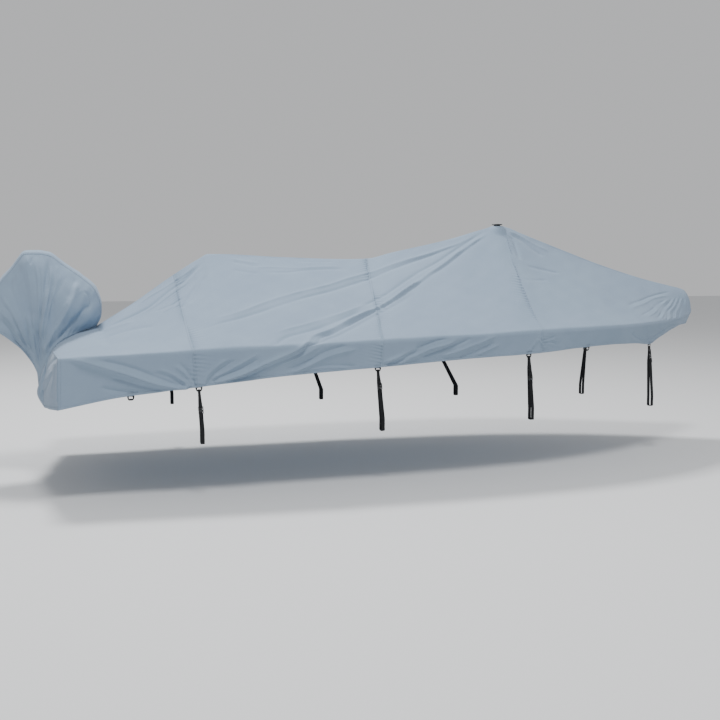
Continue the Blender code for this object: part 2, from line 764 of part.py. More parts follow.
def seat_behind_hem(x, side):
    """Where a tab is sewn: the middle of its thickness at the hem, and the ways along, down and out."""
    station = station_at(HEM, x)
    hem = cover_point(station, HEM_AT, side)
    down = (hem - cover_point(station, HEM_AT - SKIRT_STEP, side)).normalized()
    along = cover_point(station + STEP, HEM_AT, side) - cover_point(station - STEP, HEM_AT, side)
    along = (along - down * along.dot(down)).normalized()
    out = down.cross(along) * -side
    nearest = REACH
    for half in (-TAB_HALF, 0, TAB_HALF):
        for share in TAB_SHARES:
            start = hem + along * half - down * (share * TAB_SEWN) - out * REACH
            hits = [tree.ray_cast(start, out)[3] for tree in CLOTH_TREES]
            nearest = min([nearest] + [hit for hit in hits if hit])
    return Seat(hem + out * (nearest - REACH - GAP - TAB_THICK / 2), along, down, out, side)


def both_sides(outline):
    """A closed outline from the points down one side of it."""
    return outline + [(-half, down) for half, down in reversed(outline)]


def pulled_out(seat, pull):
    """The way out of a tab's part below the hem."""
    return pull.cross(seat.along).normalized() * -seat.side


def add_tab(name, seat, pull):
    """A flat webbing tab with a hole, sewn behind the hem and bent there to point along the pull."""
    below_out = pulled_out(seat, pull)
    bm = bmesh.new()
    out = bm.verts.layers.float_vector.new("out")

    def add_vert(half, down):
        way = pull if down > 0 else seat.down
        normal = (seat.out * (down <= 0) + below_out * (down >= 0)).normalized()
        vert = bm.verts.new(seat.hem + seat.along * half + way * down + normal * (TAB_THICK / 2))
        vert[out] = normal
        return vert

    edges = []
    for outline in (TAB_HOLE, TAB_OUTLINE):
        verts = [add_vert(half, down) for half, down in both_sides(outline)]
        edges += [bm.edges.new(pair) for pair in zip(verts, verts[1:] + verts[:1])]
    bmesh.ops.triangle_fill(bm, edges=edges, use_beauty=True)
    bm.faces.new([verts[0], verts[-1], add_vert(-TAB_HALF, -TAB_SEWN), add_vert(TAB_HALF, -TAB_SEWN)])
    thicken(bm, out, TAB_THICK)
    add_object(name, bm, WEBBING)


def ribbon(name, points, wides, thicks, alongs):
    """A flat band along points. Its width lies as near to the along directions as it can."""
    bm = bmesh.new()
    rings = []
    for i, point in enumerate(points):
        tangent = (points[min(i + 1, len(points) - 1)] - points[max(i - 1, 0)]).normalized()
        wide = (alongs[i] - tangent * alongs[i].dot(tangent)).normalized() * (wides[i] / 2)
        thick = tangent.cross(wide).normalized() * (thicks[i] / 2)
        corners = [point - wide - thick, point + wide - thick, point + wide + thick, point - wide + thick]
        rings.append([bm.verts.new(corner) for corner in corners])
    for first, second in zip(rings, rings[1:]):
        for k in range(4):
            bm.faces.new([first[k - 1], first[k], second[k], second[k - 1]])
    for ring in (rings[0], rings[-1]):
        bm.faces.new(ring)
    bmesh.ops.recalc_face_normals(bm, faces=bm.faces)
    add_object(name, bm, WEBBING)


def arc(centre, first, second, radius, start, end, count):
    """Points on an arc in the plane of two directions, from one angle to another."""
    turns = [start + (end - start) * i / count for i in range(count + 1)]
    return [centre + (first * math.cos(turn) + second * math.sin(turn)) * radius for turn in turns]


def add_strap(name, seat, pull, rail, buckle_share):
    """A webbing loop from the tab's bar round the rail and back, closed by its buckle outside."""
    along, out, up = Vector((1, 0, 0)), Vector((0, seat.side, 0)), Vector((0, 0, 1))
    turn_at = seat.hem + pull * BAR_AT
    over_bar = arc(turn_at, pulled_out(seat, pull), -pull, TURN_RADIUS, 0, math.pi, 6)
    outer_start, inner_start = over_bar[0] + pull * LEAD, over_bar[-1] + pull * LEAD
    inner_top = rail + up * RAIL_HALF_HIGH - out * RAIL_HALF_WIDE
    outer_top = rail + up * RAIL_HALF_HIGH + out * RAIL_HALF_WIDE
    under_rail = []
    for sign, quarter in ((-1, 2), (1, 3)):
        corner = rail + out * (sign * (RAIL_HALF_WIDE - RAIL_ROUND)) - up * (RAIL_HALF_HIGH - RAIL_ROUND)
        start = quarter * math.pi / 2
        under_rail += arc(corner, out, up, RAIL_ROUND, start, start + math.pi / 2, 3)
    way = (outer_top - outer_start).normalized()
    middle = outer_start.lerp(outer_top, buckle_share)
    above, below = (middle + way * (sign * (BUCKLE_HALF_LONG + GAP)) for sign in (-1, 1))
    points = [above, above.lerp(outer_start, 0.5), outer_start] + over_bar
    points += [inner_start.lerp(inner_top, share) for share in (0, 0.12, 0.3, 0.65, 1)]
    points += under_rail + [outer_top, outer_top.lerp(below, 0.5), below]
    spread = [eased(GATHERED_END, SPREAD_END, (point - turn_at).length) for point in points]
    ribbon(
        name,
        points,
        [GATHERED_WIDE + (STRAP_WIDE - GATHERED_WIDE) * share for share in spread],
        [GATHERED_THICK + (STRAP_THICK - GATHERED_THICK) * share for share in spread],
        [seat.along.lerp(along, share) for share in spread],
    )
    return middle, way


def add_buckle(name, middle, way, along):
    """A buckle with a waist, its length along the strap."""
    wide = (along - way * along.dot(way)).normalized()
    thick = way.cross(wide).normalized() * BUCKLE_THICK
    bm = bmesh.new()
    outline = [middle + wide * half + way * down - thick / 2 for half, down in both_sides(BUCKLE_OUTLINE)]
    face = bm.faces.new([bm.verts.new(point) for point in outline])
    lifted = bmesh.ops.extrude_face_region(bm, geom=[face])["geom"]
    bmesh.ops.translate(bm, verts=[v for v in lifted if isinstance(v, bmesh.types.BMVert)], vec=thick)
    bmesh.ops.recalc_face_normals(bm, faces=bm.faces)
    rims = [e for e in bm.edges if abs((e.verts[0].co - e.verts[1].co).dot(thick)) < WELD * BUCKLE_THICK]
    bmesh.ops.bevel(bm, geom=rims, offset=BUCKLE_EDGE, segments=1, profile=0.5, affect="EDGES")
    add_object(name, bm, PLASTIC)


for side_name, side in SIDES.items():
    for number, (hem_x, strap) in TABS.items():
        seat = seat_behind_hem(hem_x, side)
        place = f"{side_name}_{number}"
        if strap is None:
            add_tab(f"tab_{place}", seat, seat.down)
            continue
        rail_x = PORT_RAIL_X.get(number, strap.rail_x) if side == PORT else strap.rail_x
        rail = Vector((rail_x, side * strap.rail_half, strap.rail_z))
        pull = (rail - seat.hem).normalized()
        add_tab(f"tab_{place}", seat, pull)
        middle, way = add_strap(f"strap_{place}", seat, pull, rail, strap.buckle_share)
        add_buckle(f"buckle_{place}", middle, way, seat.along)
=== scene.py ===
"""A fitted canvas boat cover with two peaks, a hood at its stern and straps: how it looks.

Shapes are drawn in metres from the ground: X is 0 at the stern's corners and runs to the bow, Y to
port and Z up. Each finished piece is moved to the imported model's frame.
"""

import math

import bmesh
import bpy
import numpy as np
from mathutils import Matrix, Vector


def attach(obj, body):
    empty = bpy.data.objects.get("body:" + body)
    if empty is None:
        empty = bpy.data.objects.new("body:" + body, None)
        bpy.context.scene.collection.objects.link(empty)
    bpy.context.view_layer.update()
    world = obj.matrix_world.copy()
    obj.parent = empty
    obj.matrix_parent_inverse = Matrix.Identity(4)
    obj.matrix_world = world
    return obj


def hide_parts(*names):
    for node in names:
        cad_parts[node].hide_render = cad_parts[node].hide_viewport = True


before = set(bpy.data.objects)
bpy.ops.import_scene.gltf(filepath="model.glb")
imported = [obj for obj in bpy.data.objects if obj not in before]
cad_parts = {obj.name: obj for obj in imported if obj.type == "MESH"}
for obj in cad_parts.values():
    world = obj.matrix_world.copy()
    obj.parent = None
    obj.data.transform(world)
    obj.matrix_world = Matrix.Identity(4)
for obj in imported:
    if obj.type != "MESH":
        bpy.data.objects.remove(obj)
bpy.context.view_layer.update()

# ==== Main cover ====
# Four panels of proofed polyester canvas, sewn edge to edge. They hang from two peaks, turn over a
# shoulder on each side and end in a skirt. The straps pull it down, so folds run from strap to peak.

TO_ORIGIN = Vector((-3.443, 0, -1.8578))
STARBOARD, PORT = -1, 1
SIDES = {"starboard": STARBOARD, "port": PORT}
STEP = 0.01  # how far either way the slope of the cloth is taken


def table(**columns):
    """A line's columns, which are given in thousandths."""
    return {name: np.array(values) / 1000 for name, values in columns.items()}


def smooth(t, key, column, at):
    """A column's values on a smooth curve through its rows, which never swings past them."""
    x, y = t[key], t[column]
    step = np.diff(x)
    slope = np.diff(y) / step
    before, after = slope[:-1], slope[1:]
    same_way = before * after > 0
    total = np.where(same_way, before + after, 1.0)
    at_rows = np.concatenate([slope[:1], np.where(same_way, 2 * before * after / total, 0.0), slope[-1:]])
    i = np.clip(np.searchsorted(x, at) - 1, 0, len(step) - 1)
    u = np.clip((at - x[i]) / step[i], 0, 1)
    ease = u * u * (3 - 2 * u)
    bow = at_rows[i] * u * (1 - u) ** 2 - at_rows[i + 1] * u * u * (1 - u)
    return y[i] * (1 - ease) + y[i + 1] * ease + step[i] * bow


def eased(low, high, at):
    """0 below low, 1 above high, and a smooth step between."""
    u = np.clip((at - low) / (high - low), 0, 1)
    return u * u * (3 - 2 * u)


def long(v):
    return np.linalg.norm(v, axis=-1, keepdims=True)


def unit(v):
    return v / np.maximum(long(v), 1e-12)


def so_far(steps):
    """The running total of some steps, from 0."""
    return np.concatenate([[0], np.cumsum(steps)])


# A station is the place along the ridge from the stern. A line has its X, its distance from the centre
# plane and its Z at each station.
RIDGE = table(
    station=(257, 500, 790, 1014, 1074, 1165, 1620, 2150, 2320, 2520, 3030, 3300, 3443, 3530, 3650, 4020,
             4410, 4800, 5100, 5200, 5252, 5285),
    z=(1095, 1246, 1448, 1590, 1620, 1620, 1600, 1586, 1590, 1636, 1750, 1827, 1860, 1848, 1805, 1675, 1543,
       1431, 1362, 1341, 1322, 1287),
)
SHOULDER = table(
    station=(0, 257, 820, 1500, 2320, 2900, 3500, 4000, 4400, 4700, 4900, 5050, 5150, 5240, 5285),
    x=(-10, 360, 825, 1420, 2100, 2730, 3350, 3920, 4370, 4700, 4920, 5090, 5203, 5284, 5308),
    half=(992, 1024, 1056, 1084, 1090, 1073, 1004, 862, 665, 478, 342, 228, 142, 72, 0),
    z=(950, 966, 983, 1003, 1024, 1042, 1060, 1068, 1072, 1078, 1088, 1102, 1122, 1154, 1178),
)
HEM = table(
    station=(0, 257, 500, 820, 1500, 2320, 2900, 3500, 3800, 4100, 4400, 4600, 4700, 4850, 5000, 5120, 5220,
             5285),
    x=(-20, 360, 580, 845, 1420, 2100, 2730, 3360, 3700, 4030, 4360, 4585, 4700, 4860, 5010, 5130, 5228,
       5277),
    half=(960, 989, 1004, 1020, 1047, 1054, 1036, 970, 892, 788, 637, 500, 435, 338, 232, 140, 68, 0),
    z=(616, 688, 713, 741, 797, 838, 876, 898, 920, 930, 921, 900, 935, 983, 1016, 1031, 1036, 1040),
)
# How far the cloth hangs below a straight line from ridge to shoulder. At the bow it stands above it.
SAG = table(
    station=(0, 257, 820, 1074, 1700, 2300, 3000, 3443, 4000, 4600, 5000, 5200, 5285),
    depth=(0, 8, 30, 38, 22, 22, 36, 50, 36, 14, -10, -22, -6),
)
# The edge of the well, the cut-out in the stern: from the centre plane at its front, round the side,
# over the stern's edge at row 8 and down the stern to the centre plane.
WELL = table(
    row=range(0, 16000, 1000),
    x=(257, 242, 212, 170, 119, 65, 10, -30, -59, -85, -110, -130, -148, -155, -159, -160),
    half=(0, 50, 100, 150, 200, 240, 265, 277, 278, 265, 240, 200, 150, 100, 50, 0),
    z=(1095, 1091, 1084, 1071, 1055, 1033, 1005, 972, 936, 885, 833, 780, 722, 692, 677, 673),
)
WELL_FRONT, WELL_STERN, WELL_NECK, WELL_END = 2, 8, 14, 15
WELL_STATION, BOW_STATION = 0.257, 5.285  # where the ridge starts and ends
SEAMS = {"aft": 0.820, "mid": 2.320, "fore": 3.500}  # the three cross seams, by the panel before each

PEAK_X, PEAK_Z = 3.443, 1.860  # the higher peak
PAD_FLAT, PAD_END = 0.030, 0.080  # radii: the peak's flat pad, and where the cloth leaves it
BEND, BEND_SHARE = 0.022, 0.25  # from the shoulder to each end of its bend, and the most of the way
RIDGE_SOFT = 0.035  # how round the ridge is, as a share of the way to the shoulder


def line_points(line, key, at, side):
    half = smooth(line, key, "half", at)
    return np.stack([smooth(line, key, "x", at), side * half, smooth(line, key, "z", at)], -1)


def smooth_cover(station, across, side):
    """Points of the main cover with no folds. Across is 0 on the ridge or round the well, 1 and 2 where
    the shoulder's bend starts and ends, and 3 at the hem."""
    station, across, side = np.broadcast_arrays(np.asarray(station, float), across, side)
    ridge = np.stack([station, 0 * station, smooth(RIDGE, "station", "z", station)], -1)
    well = line_points(WELL, "row", WELL_STERN * (1 - station / WELL_STATION), side)
    by_well = (station < WELL_STATION)[..., None]
    top = np.where(by_well, well, ridge)
    corner, hem = (line_points(line, "station", station, side) for line in (SHOULDER, HEM))
    slope, drop = corner - top, hem - corner
    bend_start = corner - unit(slope) * np.minimum(BEND, BEND_SHARE * long(slope))
    bend_end = corner + unit(drop) * np.minimum(BEND, BEND_SHARE * long(drop))
    on, back = np.minimum(station + STEP, BOW_STATION), np.maximum(station - STEP, 0)
    along = line_points(SHOULDER, "station", on, side) - line_points(SHOULDER, "station", back, side)
    across_bow = np.stack([0 * station, -side, 0 * station], -1)
    along = np.where((station > BOW_STATION - STEP)[..., None], across_bow, along)
    out = unit(np.cross(slope, along) * -side[..., None])
    a = across[..., None]
    soft = np.where(by_well, 0, RIDGE_SOFT)
    share = (np.hypot(np.minimum(a, 1), soft) - soft) / (np.hypot(1, soft) - soft)
    hang = 4 * smooth(SAG, "station", "depth", station)[..., None] * share * (1 - share)
    turn, down = np.clip(a - 1, 0, 1), np.clip(a - 2, 0, 1)
    upper = top + (bend_start - top) * share - out * hang
    bend = bend_start * (1 - turn) ** 2 + 2 * corner * turn * (1 - turn) + bend_end * turn**2
    point = np.where(a <= 1, upper, np.where(a <= 2, bend, bend_end + (hem - bend_end) * down))
    on_pad = 1 - eased(PAD_FLAT, PAD_END, np.hypot(point[..., 0] - PEAK_X, point[..., 1]))
    point[..., 2] += (PEAK_Z - point[..., 2]) * on_pad
    return point


def waves(points, length, height, seed):
    """Soft random waves through space, about one length long and one height high."""
    random = np.random.default_rng(seed)
    ways = random.normal(size=(9, 3))
    ways *= 2 * math.pi / (length * random.uniform(0.7, 1.6, (9, 1))) / long(ways)
    return np.sin(points @ ways.T + random.uniform(0, 6.3, 9)).sum(-1) * (height / 3)


def beside(points, curve):
    """How far points are from a curve, and their share of the way along it."""
    start, way = curve[:-1], np.diff(curve, axis=0)
    size = long(way)[:, 0]
    off = points[:, None] - start
    share = np.clip((off * way).sum(-1) / size**2, 0, 1)
    gap = long(off - way * share[..., None])[..., 0]
    nearest = gap.argmin(1)
    each = np.arange(len(points))
    gone = so_far(size)
    return gap[each, nearest], (gone[nearest] + share[each, nearest] * size[nearest]) / gone[-1]


HEM_FADE, FADE = 0.03, 0.16  # the part of a fold in which it rises: at the hem, and elsewhere
FOLD_REACH, FOLD_END = 3.5, 9  # in a fold's widths: where it is looked for, and the most that counts
BROAD, SHARP, SHARPER = 0.55, 0.45, 2.1  # a fold's section is a broad swell under a sharper crest


class Cloth:
    """Cloth whose points without folds come from plain(u, v, side). Its folds stand out along the way
    out of it, as far as free(points, u, v, side) lets them. Slack, which is the length, height and seed
    of each of its waves, and pucker(u, v, slack) add to them. Turn is -1 where the ways out would
    otherwise point in, and seen is 0 along an axis that a fold runs through unchanged."""

    def __init__(self, plain, u_ends, v_ends, turn, free, slack, pucker=None, seen=(1, 1, 1)):
        self.plain, self.u_ends, self.v_ends, self.turn = plain, u_ends, v_ends, turn
        self.free, self.slack, self.pucker, self.seen = free, slack, pucker, np.array(seen)
        self.folds = []

    def out(self, u, v, side):
        back, on = (np.clip(u + step, *self.u_ends) for step in (-STEP, STEP))
        up, down = (np.clip(v + step, *self.v_ends) for step in (-STEP, STEP))
        along = self.plain(on, v, side) - self.plain(back, v, side)
        downward = self.plain(u, down, side) - self.plain(u, up, side)
        return unit(np.cross(downward, along) * (self.turn * side)[..., None])

    def fold(self, side, height, width, route):
        """A ridge, or with a negative height a trough, through places on the cloth."""
        u, v = np.transpose(route)
        rows = {"at": np.arange(len(u)), "u": u, "v": v}
        at = np.linspace(0, len(u) - 1, 5 * (len(u) - 1) + 1)
        curve = self.plain(*(smooth(rows, "at", column, at) for column in "uv"), np.full(len(at), side))
        fades = [HEM_FADE if end > self.v_ends[1] - FADE else FADE for end in (v[0], v[-1])]
        self.folds.append((side, curve * self.seen, height, width, fades))

    def lift(self, points, side):
        """How far folds raise the cloth at points. They wander a little off their routes."""
        total = np.zeros(len(points))
        points = points * self.seen
        wander = np.stack([waves(points, 0.4, 0.006, seed) for seed in (1, 2, 3)], -1)
        points = points + wander * self.seen
        for fold_side, curve, height, width, (fade_in, fade_out) in self.folds:
            reach = FOLD_REACH * width
            near = np.all((points > curve.min(0) - reach) & (points < curve.max(0) + reach), axis=1)
            near = np.flatnonzero(near & (side == fold_side))
            if len(near):
                gap, share = beside(points[near], curve)
                part = eased(0, fade_in, share) * (1 - eased(1 - fade_out, 1, share))
                off = np.minimum(gap / width, FOLD_END)
                section = BROAD / np.cosh(off) ** 2 + SHARP / np.cosh(SHARPER * off) ** 2
                total[near] += height * part * section
        return total

    def laid(self, u, v, side):
        """The cloth's points and the ways out of it, at places given by three tables of one shape."""
        u, v, side = np.broadcast_arrays(np.asarray(u, float), np.asarray(v, float), side)
        point, out = self.plain(u, v, side), self.out(u, v, side)
        flat = point.reshape(-1, 3)
        lift = self.lift(flat, side.reshape(-1)).reshape(u.shape)
        small = sum(waves(point, *wave) for wave in self.slack)
        lift = lift + (small if self.pucker is None else self.pucker(u, v, small))
        return point + out * (lift * self.free(point, u, v, side))[..., None], out


def cover_free(point, station, across, side):
    """Folds fade out by the ridge, the stern's edge, the bow's end and the peak's pad."""
    free = eased(0, 0.04, across) * (1 - eased(5.14, BOW_STATION, station))
    free = free * np.where(across < 1, eased(0, 0.06, station), eased(0, 0.03, station))
    return free * eased(PAD_FLAT, PAD_END, np.hypot(point[..., 0] - PEAK_X, point[..., 1]))


# How far apart the puckers are, how far they reach and how high they are, above the shoulder and below.
PUCKERS = ((0.027, 0.034), (0.042, 0.055), (0.007, 0.003))


def cover_pucker(station, across, lift):
    """Adds the short puckers at the cross seams, where the thread has gathered the cloth."""
    down = 1.15 * np.minimum(across, 1) + 0.25 * np.clip(across - 2, 0, 1)
    apart, reach, height = (np.where(across < 1, *pair) for pair in PUCKERS)
    for number, seam in enumerate(SEAMS.values()):
        off = station - seam
        slant = down + 0.35 * off * np.sin(3.1 * down + number)
        jitter = 2.6 * np.sin(down * 11 + number) + 3.1 * np.sin(down * 4.3)
        wave = np.sin(2 * math.pi * slant / apart + jitter)
        patchy = eased(-0.6, 0.8, np.sin(down * 6.1 + 2.1 * number + 1.3 * np.sign(off)))
        lift = lift + height * wave * patchy * np.exp(-np.abs(off) / reach)
    return lift


COVER_SLACK = ((0.50, 0.0026, 4), (0.16, 0.0009, 5))
COVER = Cloth(smooth_cover, (0, BOW_STATION), (0, 3), -1, cover_free, COVER_SLACK, cover_pucker)

# Each fold's height and width in millimetres, then the places that it runs through, each as a station
# and a place across, in hundredths.
NEAR_FOLDS = [
    # from the aft strap and the aft peak
    (10, 32, 2, 184, 11, 198, 30, 240, 56, 276, 77, 300),
    (18, 12, 2, 188, 13, 208, 22, 228, 36, 252, 53, 276, 68, 292, 77, 300),
    (-9, 14, 14, 200, 22, 212, 36, 232, 49, 252, 61, 272, 70, 288),
    (-9.5, 14, 16, 264, 25, 280, 38, 292),
    (8, 10, 53, 236, 62, 248, 70, 268, 77, 296),
    (-8, 9, 49, 244, 60, 256, 69, 276, 74, 292),
    (-10, 12, 20, 244, 34, 268, 50, 288, 66, 298),
    (8, 10, 80, 300, 78, 280, 74, 256, 66, 228),
    (-7, 8, 82, 300, 80, 280, 76, 250, 69, 220),
    (8, 9, 88, 300, 92, 270, 100, 240, 108, 216),
    (-7, 8, 90, 300, 95, 274, 103, 248, 113, 220),
    (5.5, 7, 70, 268, 75, 280, 79, 296),
    (8, 9, 93, 284, 103, 268, 113, 244, 122, 224, 130, 208),
    (-8, 9, 94, 292, 104, 272, 115, 256, 124, 236, 131, 224),
    (12, 16, 97, 296, 108, 284, 119, 268, 131, 248),
    (-9.5, 12, 100, 300, 113, 292, 124, 280, 131, 272),
    (7, 10, 105, 300, 118, 300, 131, 292),
    (-12, 22, 103, 8, 85, 17, 76, 18, 60, 23, 51, 22, 27, 18),
    (8, 16, 104, 11, 96, 16, 88, 22, 74, 26, 63, 28, 54, 27),
    (8, 14, 100, 6, 91, 10, 82, 11, 73, 11, 62, 10, 52, 11),
    (-8, 14, 99, 18, 95, 24, 92, 32, 86, 40, 81, 46),
    (7, 12, 101, 16, 97, 23, 92, 29, 87, 35, 82, 45),
    (-8, 14, 103, 21, 99, 28, 94, 36, 88, 44),
    (-7, 14, 86, 34, 80, 36, 72, 36, 62, 34),
    (5.5, 12, 84, 41, 77, 40, 68, 41),
    (-8, 40, 16, 42, 31, 41, 48, 48, 62, 57),
    (8, 34, 17, 26, 33, 28, 48, 35),
    (-3.5, 16, 124, 10, 137, 13, 145, 15),
    (3.5, 14, 123, 7, 137, 10, 146, 11),
    (-4, 18, 124, 18, 136, 21, 144, 22),
    # the long pull from the aft strap over the shoulder to the higher peak, and the troughs beside it
    (18, 10, 98, 298, 122, 264, 137, 241, 152, 220, 163, 196, 172, 97, 189, 88, 219, 72, 241, 59, 260, 46,
     284, 32),
    (11, 14, 241, 59, 260, 46, 284, 30, 310, 17, 338, 7),
    (9, 30, 98, 298, 122, 264, 150, 220, 162, 196, 171, 96, 188, 87, 219, 72, 241, 59),
    (-10, 11, 106, 298, 130, 268, 146, 246, 160, 226, 168, 204),
    (-13, 12, 156, 240, 168, 204, 175, 144, 180, 97, 193, 90, 206, 83, 230, 68, 250, 55),
    (-7, 16, 240, 62, 254, 52, 269, 42, 297, 26, 324, 13, 338, 9),
    (-8, 26, 163, 204, 180, 102, 199, 92, 216, 82, 240, 66, 266, 50),
    (-10, 15, 212, 67, 234, 53, 254, 41, 273, 29, 295, 19, 317, 10, 338, 4),
    (-11, 24, 85, 78, 106, 74, 138, 64, 168, 52, 207, 38, 232, 27, 260, 19, 285, 14, 318, 9),
    (10, 20, 95, 71, 121, 64, 159, 48, 198, 34, 232, 21, 261, 15, 295, 11, 328, 6),
    (-11, 24, 135, 112, 151, 94, 166, 89, 181, 84, 198, 77, 224, 64),
    (8, 20, 143, 89, 162, 83, 182, 77, 203, 69, 230, 56),
    (-13.5, 14, 149, 280, 161, 264, 174, 244, 186, 220, 197, 204, 207, 192),
    (12, 14, 156, 288, 171, 268, 186, 244, 200, 224, 213, 212),
    (-8.5, 12, 175, 280, 193, 276, 213, 280),
    (7, 12, 169, 284, 189, 284, 208, 284),
    (8.5, 12, 145, 260, 159, 240, 172, 216, 182, 196),
    (13.5, 13, 233, 284, 242, 264, 251, 244, 258, 224),
    (-12, 12, 235, 292, 245, 276, 252, 256, 258, 240),
    (10, 12, 244, 292, 251, 276, 259, 264),
    (-5, 16, 146, 21, 163, 21, 182, 18, 200, 16, 217, 15),
    (4, 14, 137, 16, 155, 15, 173, 16, 191, 14, 215, 12),
    (-3, 12, 174, 7, 192, 7, 207, 6),
    # from the higher peak, and down the skirt
    (-10.5, 16, 350, 10, 355, 12, 356, 19, 356, 27, 357, 33),
    (-9, 22, 353, 7, 364, 10, 373, 16, 383, 20),
    (7.5, 14, 352, 5, 364, 6, 375, 9, 390, 11),
    (-7.5, 14, 361, 36, 372, 36, 384, 36, 392, 35),
    (-6, 10, 353, 51, 366, 49, 378, 47),
    (12, 13, 245, 272, 256, 260, 266, 236, 277, 216, 284, 188),
    (-12, 13, 245, 264, 252, 244, 260, 220, 269, 200, 278, 172),
    (-12, 13, 258, 276, 269, 256, 278, 232, 288, 208, 295, 188),
    (10.5, 12, 272, 280, 281, 260, 292, 236, 304, 212, 313, 184),
    (-9, 12, 285, 288, 295, 268, 304, 244, 312, 224),
    (6, 9, 297, 284, 307, 260, 315, 236),
    (6, 8, 339, 288, 343, 256, 346, 228, 348, 204),
    (6, 7, 346, 224, 349, 252, 352, 284),
    (-6, 9, 350, 248, 356, 248, 363, 264),
    # a fan from the bow's corner, and slack along the hem
    (-5.5, 12, 508, 27, 492, 37, 473, 52, 457, 63, 441, 72),
    (4.5, 12, 504, 39, 488, 47, 470, 61, 449, 74, 440, 79),
    (-4.5, 9, 495, 53, 479, 68, 461, 82, 449, 89),
    (4.5, 8, 499, 50, 487, 67, 473, 80, 457, 92),
    (-4.5, 8, 505, 46, 491, 70, 477, 86, 465, 97),
    (4.5, 7, 507, 46, 494, 73, 480, 89, 468, 100),
    (-4.5, 7, 510, 43, 498, 71, 485, 90, 473, 120),
    (4.5, 7, 511, 47, 500, 74, 489, 91, 478, 144),
    (-4.5, 7, 514, 43, 504, 73, 493, 92, 483, 172),
    (4.5, 7, 515, 48, 506, 77, 497, 96, 490, 196),
    (-5, 7, 517, 49, 510, 79, 501, 99, 497, 196),
    (4.5, 7, 519, 54, 513, 85, 505, 136),
    (4.5, 8, 456, 288, 466, 276, 476, 268, 489, 256, 504, 264),
    (-4.5, 8, 449, 288, 460, 264, 469, 260, 481, 236, 493, 228),
    (4.5, 8, 473, 276, 480, 252, 487, 216),
    (-6, 12, 433, 228, 439, 256, 449, 284),
    (4.5, 10, 348, 212, 353, 244, 360, 272),
    (-4.5, 10, 348, 236, 355, 228, 361, 212),
]


def in_metres(folds):
    for height, width, *route in folds:
        yield height / 1000, width / 1000, np.reshape(route, (-1, 2)) / 100


# The port side has the same pulls, but each lies a little elsewhere and is a little softer.
for number, (height, width, route) in enumerate(in_metres(NEAR_FOLDS)):
    COVER.fold(STARBOARD, height, width, route)
    shift, spread = 0.035 * math.sin(2.4 * number), 1 + 0.04 * math.sin(1.7 * number)
    moved = [(min(u + shift, 5.2), v * spread if v < 1 else v) for u, v in route]
    COVER.fold(PORT, height * (0.8 + 0.15 * math.sin(number)), width * 1.1, moved)


def linear(colour):
    """An sRGB hex colour as linear red, green, blue and alpha."""
    parts = [int(colour[i : i + 2], 16) / 255 for i in (1, 3, 5)]
    return (*[p / 12.92 if p <= 0.04045 else ((p + 0.055) / 1.055) ** 2.4 for p in parts], 1)


def new_finish(name):
    made = bpy.data.materials.new(name)
    made.use_nodes = True
    return made


def add_node(material, kind, inputs, out=0, **settings):
    """A node's output, after its settings and inputs. An input is a value, or a socket to link it to."""
    made = material.node_tree.nodes.new(f"ShaderNode{kind}")
    for name, value in settings.items():
        setattr(made, name, value)
    for name, value in inputs.items():
        if isinstance(value, bpy.types.NodeSocket):
            material.node_tree.links.new(value, made.inputs[name])
        else:
            made.inputs[name].default_value = value
    return made.outputs[out]


def link_shader(material, colour, roughness, normal):
    shader = material.node_tree.nodes["Principled BSDF"]
    for name, socket in {"Base Color": colour, "Roughness": roughness, "Normal": normal}.items():
        material.node_tree.links.new(socket, shader.inputs[name])


def set_shader(material, values):
    """Sets what is the same all over a material."""
    for name, value in values.items():
        material.node_tree.nodes["Principled BSDF"].inputs[name].default_value = value


WAVE_TURN = 2 * math.pi / 20  # a Wave texture of scale 1 repeats after this much
SHARE, UNDER, OVER, MIXED = 0, 6, 7, 2  # where a Mix node of colours has its share, colours and result
FROM, TO = 3, 4  # where a Map Range node has the ends of its new range

# Solution-dyed polyester canvas, plain woven and proofed: matt, with a faint sheen along its folds and
# slightly uneven dyeing. Its 0.6 mm threads are drawn 2.4 mm apart, to show at all.
CANVAS = new_finish("woven_polyester_canvas")
thread = add_node(CANVAS, "Attribute", {}, "Vector", attribute_name="thread")
spun = {"Vector": thread, "Scale": WAVE_TURN / 0.0024, "Distortion": 0.4, "Detail": 1.0}
warp, weft = (add_node(CANVAS, "TexWave", spun, "Fac", bands_direction=way) for way in "XY")
weave = add_node(CANVAS, "Math", {0: warp, 1: weft}, operation="MAXIMUM")
slub = add_node(CANVAS, "TexNoise", {"Vector": thread, "Scale": 260.0, "Detail": 2.0})
creased = add_node(CANVAS, "TexNoise", {"Vector": thread, "Scale": 19.0, "Detail": 5.0, "Roughness": 0.62})
dyeing = add_node(CANVAS, "TexNoise", {"Vector": thread, "Scale": 2.6, "Detail": 6.0, "Roughness": 0.65})
dyes = {SHARE: dyeing, UNDER: linear("#8295AB"), OVER: linear("#93A6B9")}
dyed = add_node(CANVAS, "Mix", dyes, MIXED, data_type="RGBA")
threads = add_node(CANVAS, "Math", {0: weave, 1: 0.5, 2: 0.5}, operation="MULTIPLY_ADD")
shade = {SHARE: 0.22, UNDER: dyed, OVER: threads}
shaded = add_node(CANVAS, "Mix", shade, MIXED, data_type="RGBA", blend_type="MULTIPLY")
flecks = {SHARE: 0.10, UNDER: shaded, OVER: slub}
flecked = add_node(CANVAS, "Mix", flecks, MIXED, data_type="RGBA", blend_type="OVERLAY")
crumpled = add_node(CANVAS, "Bump", {"Strength": 0.55, "Distance": 0.0016, "Height": creased})
raised = {"Strength": 0.35, "Distance": 0.0004, "Height": weave, "Normal": crumpled}
woven = add_node(CANVAS, "Bump", raised)
rubbed = add_node(CANVAS, "MapRange", {0: creased, FROM: 0.82, TO: 0.94})
link_shader(CANVAS, flecked, rubbed, woven)
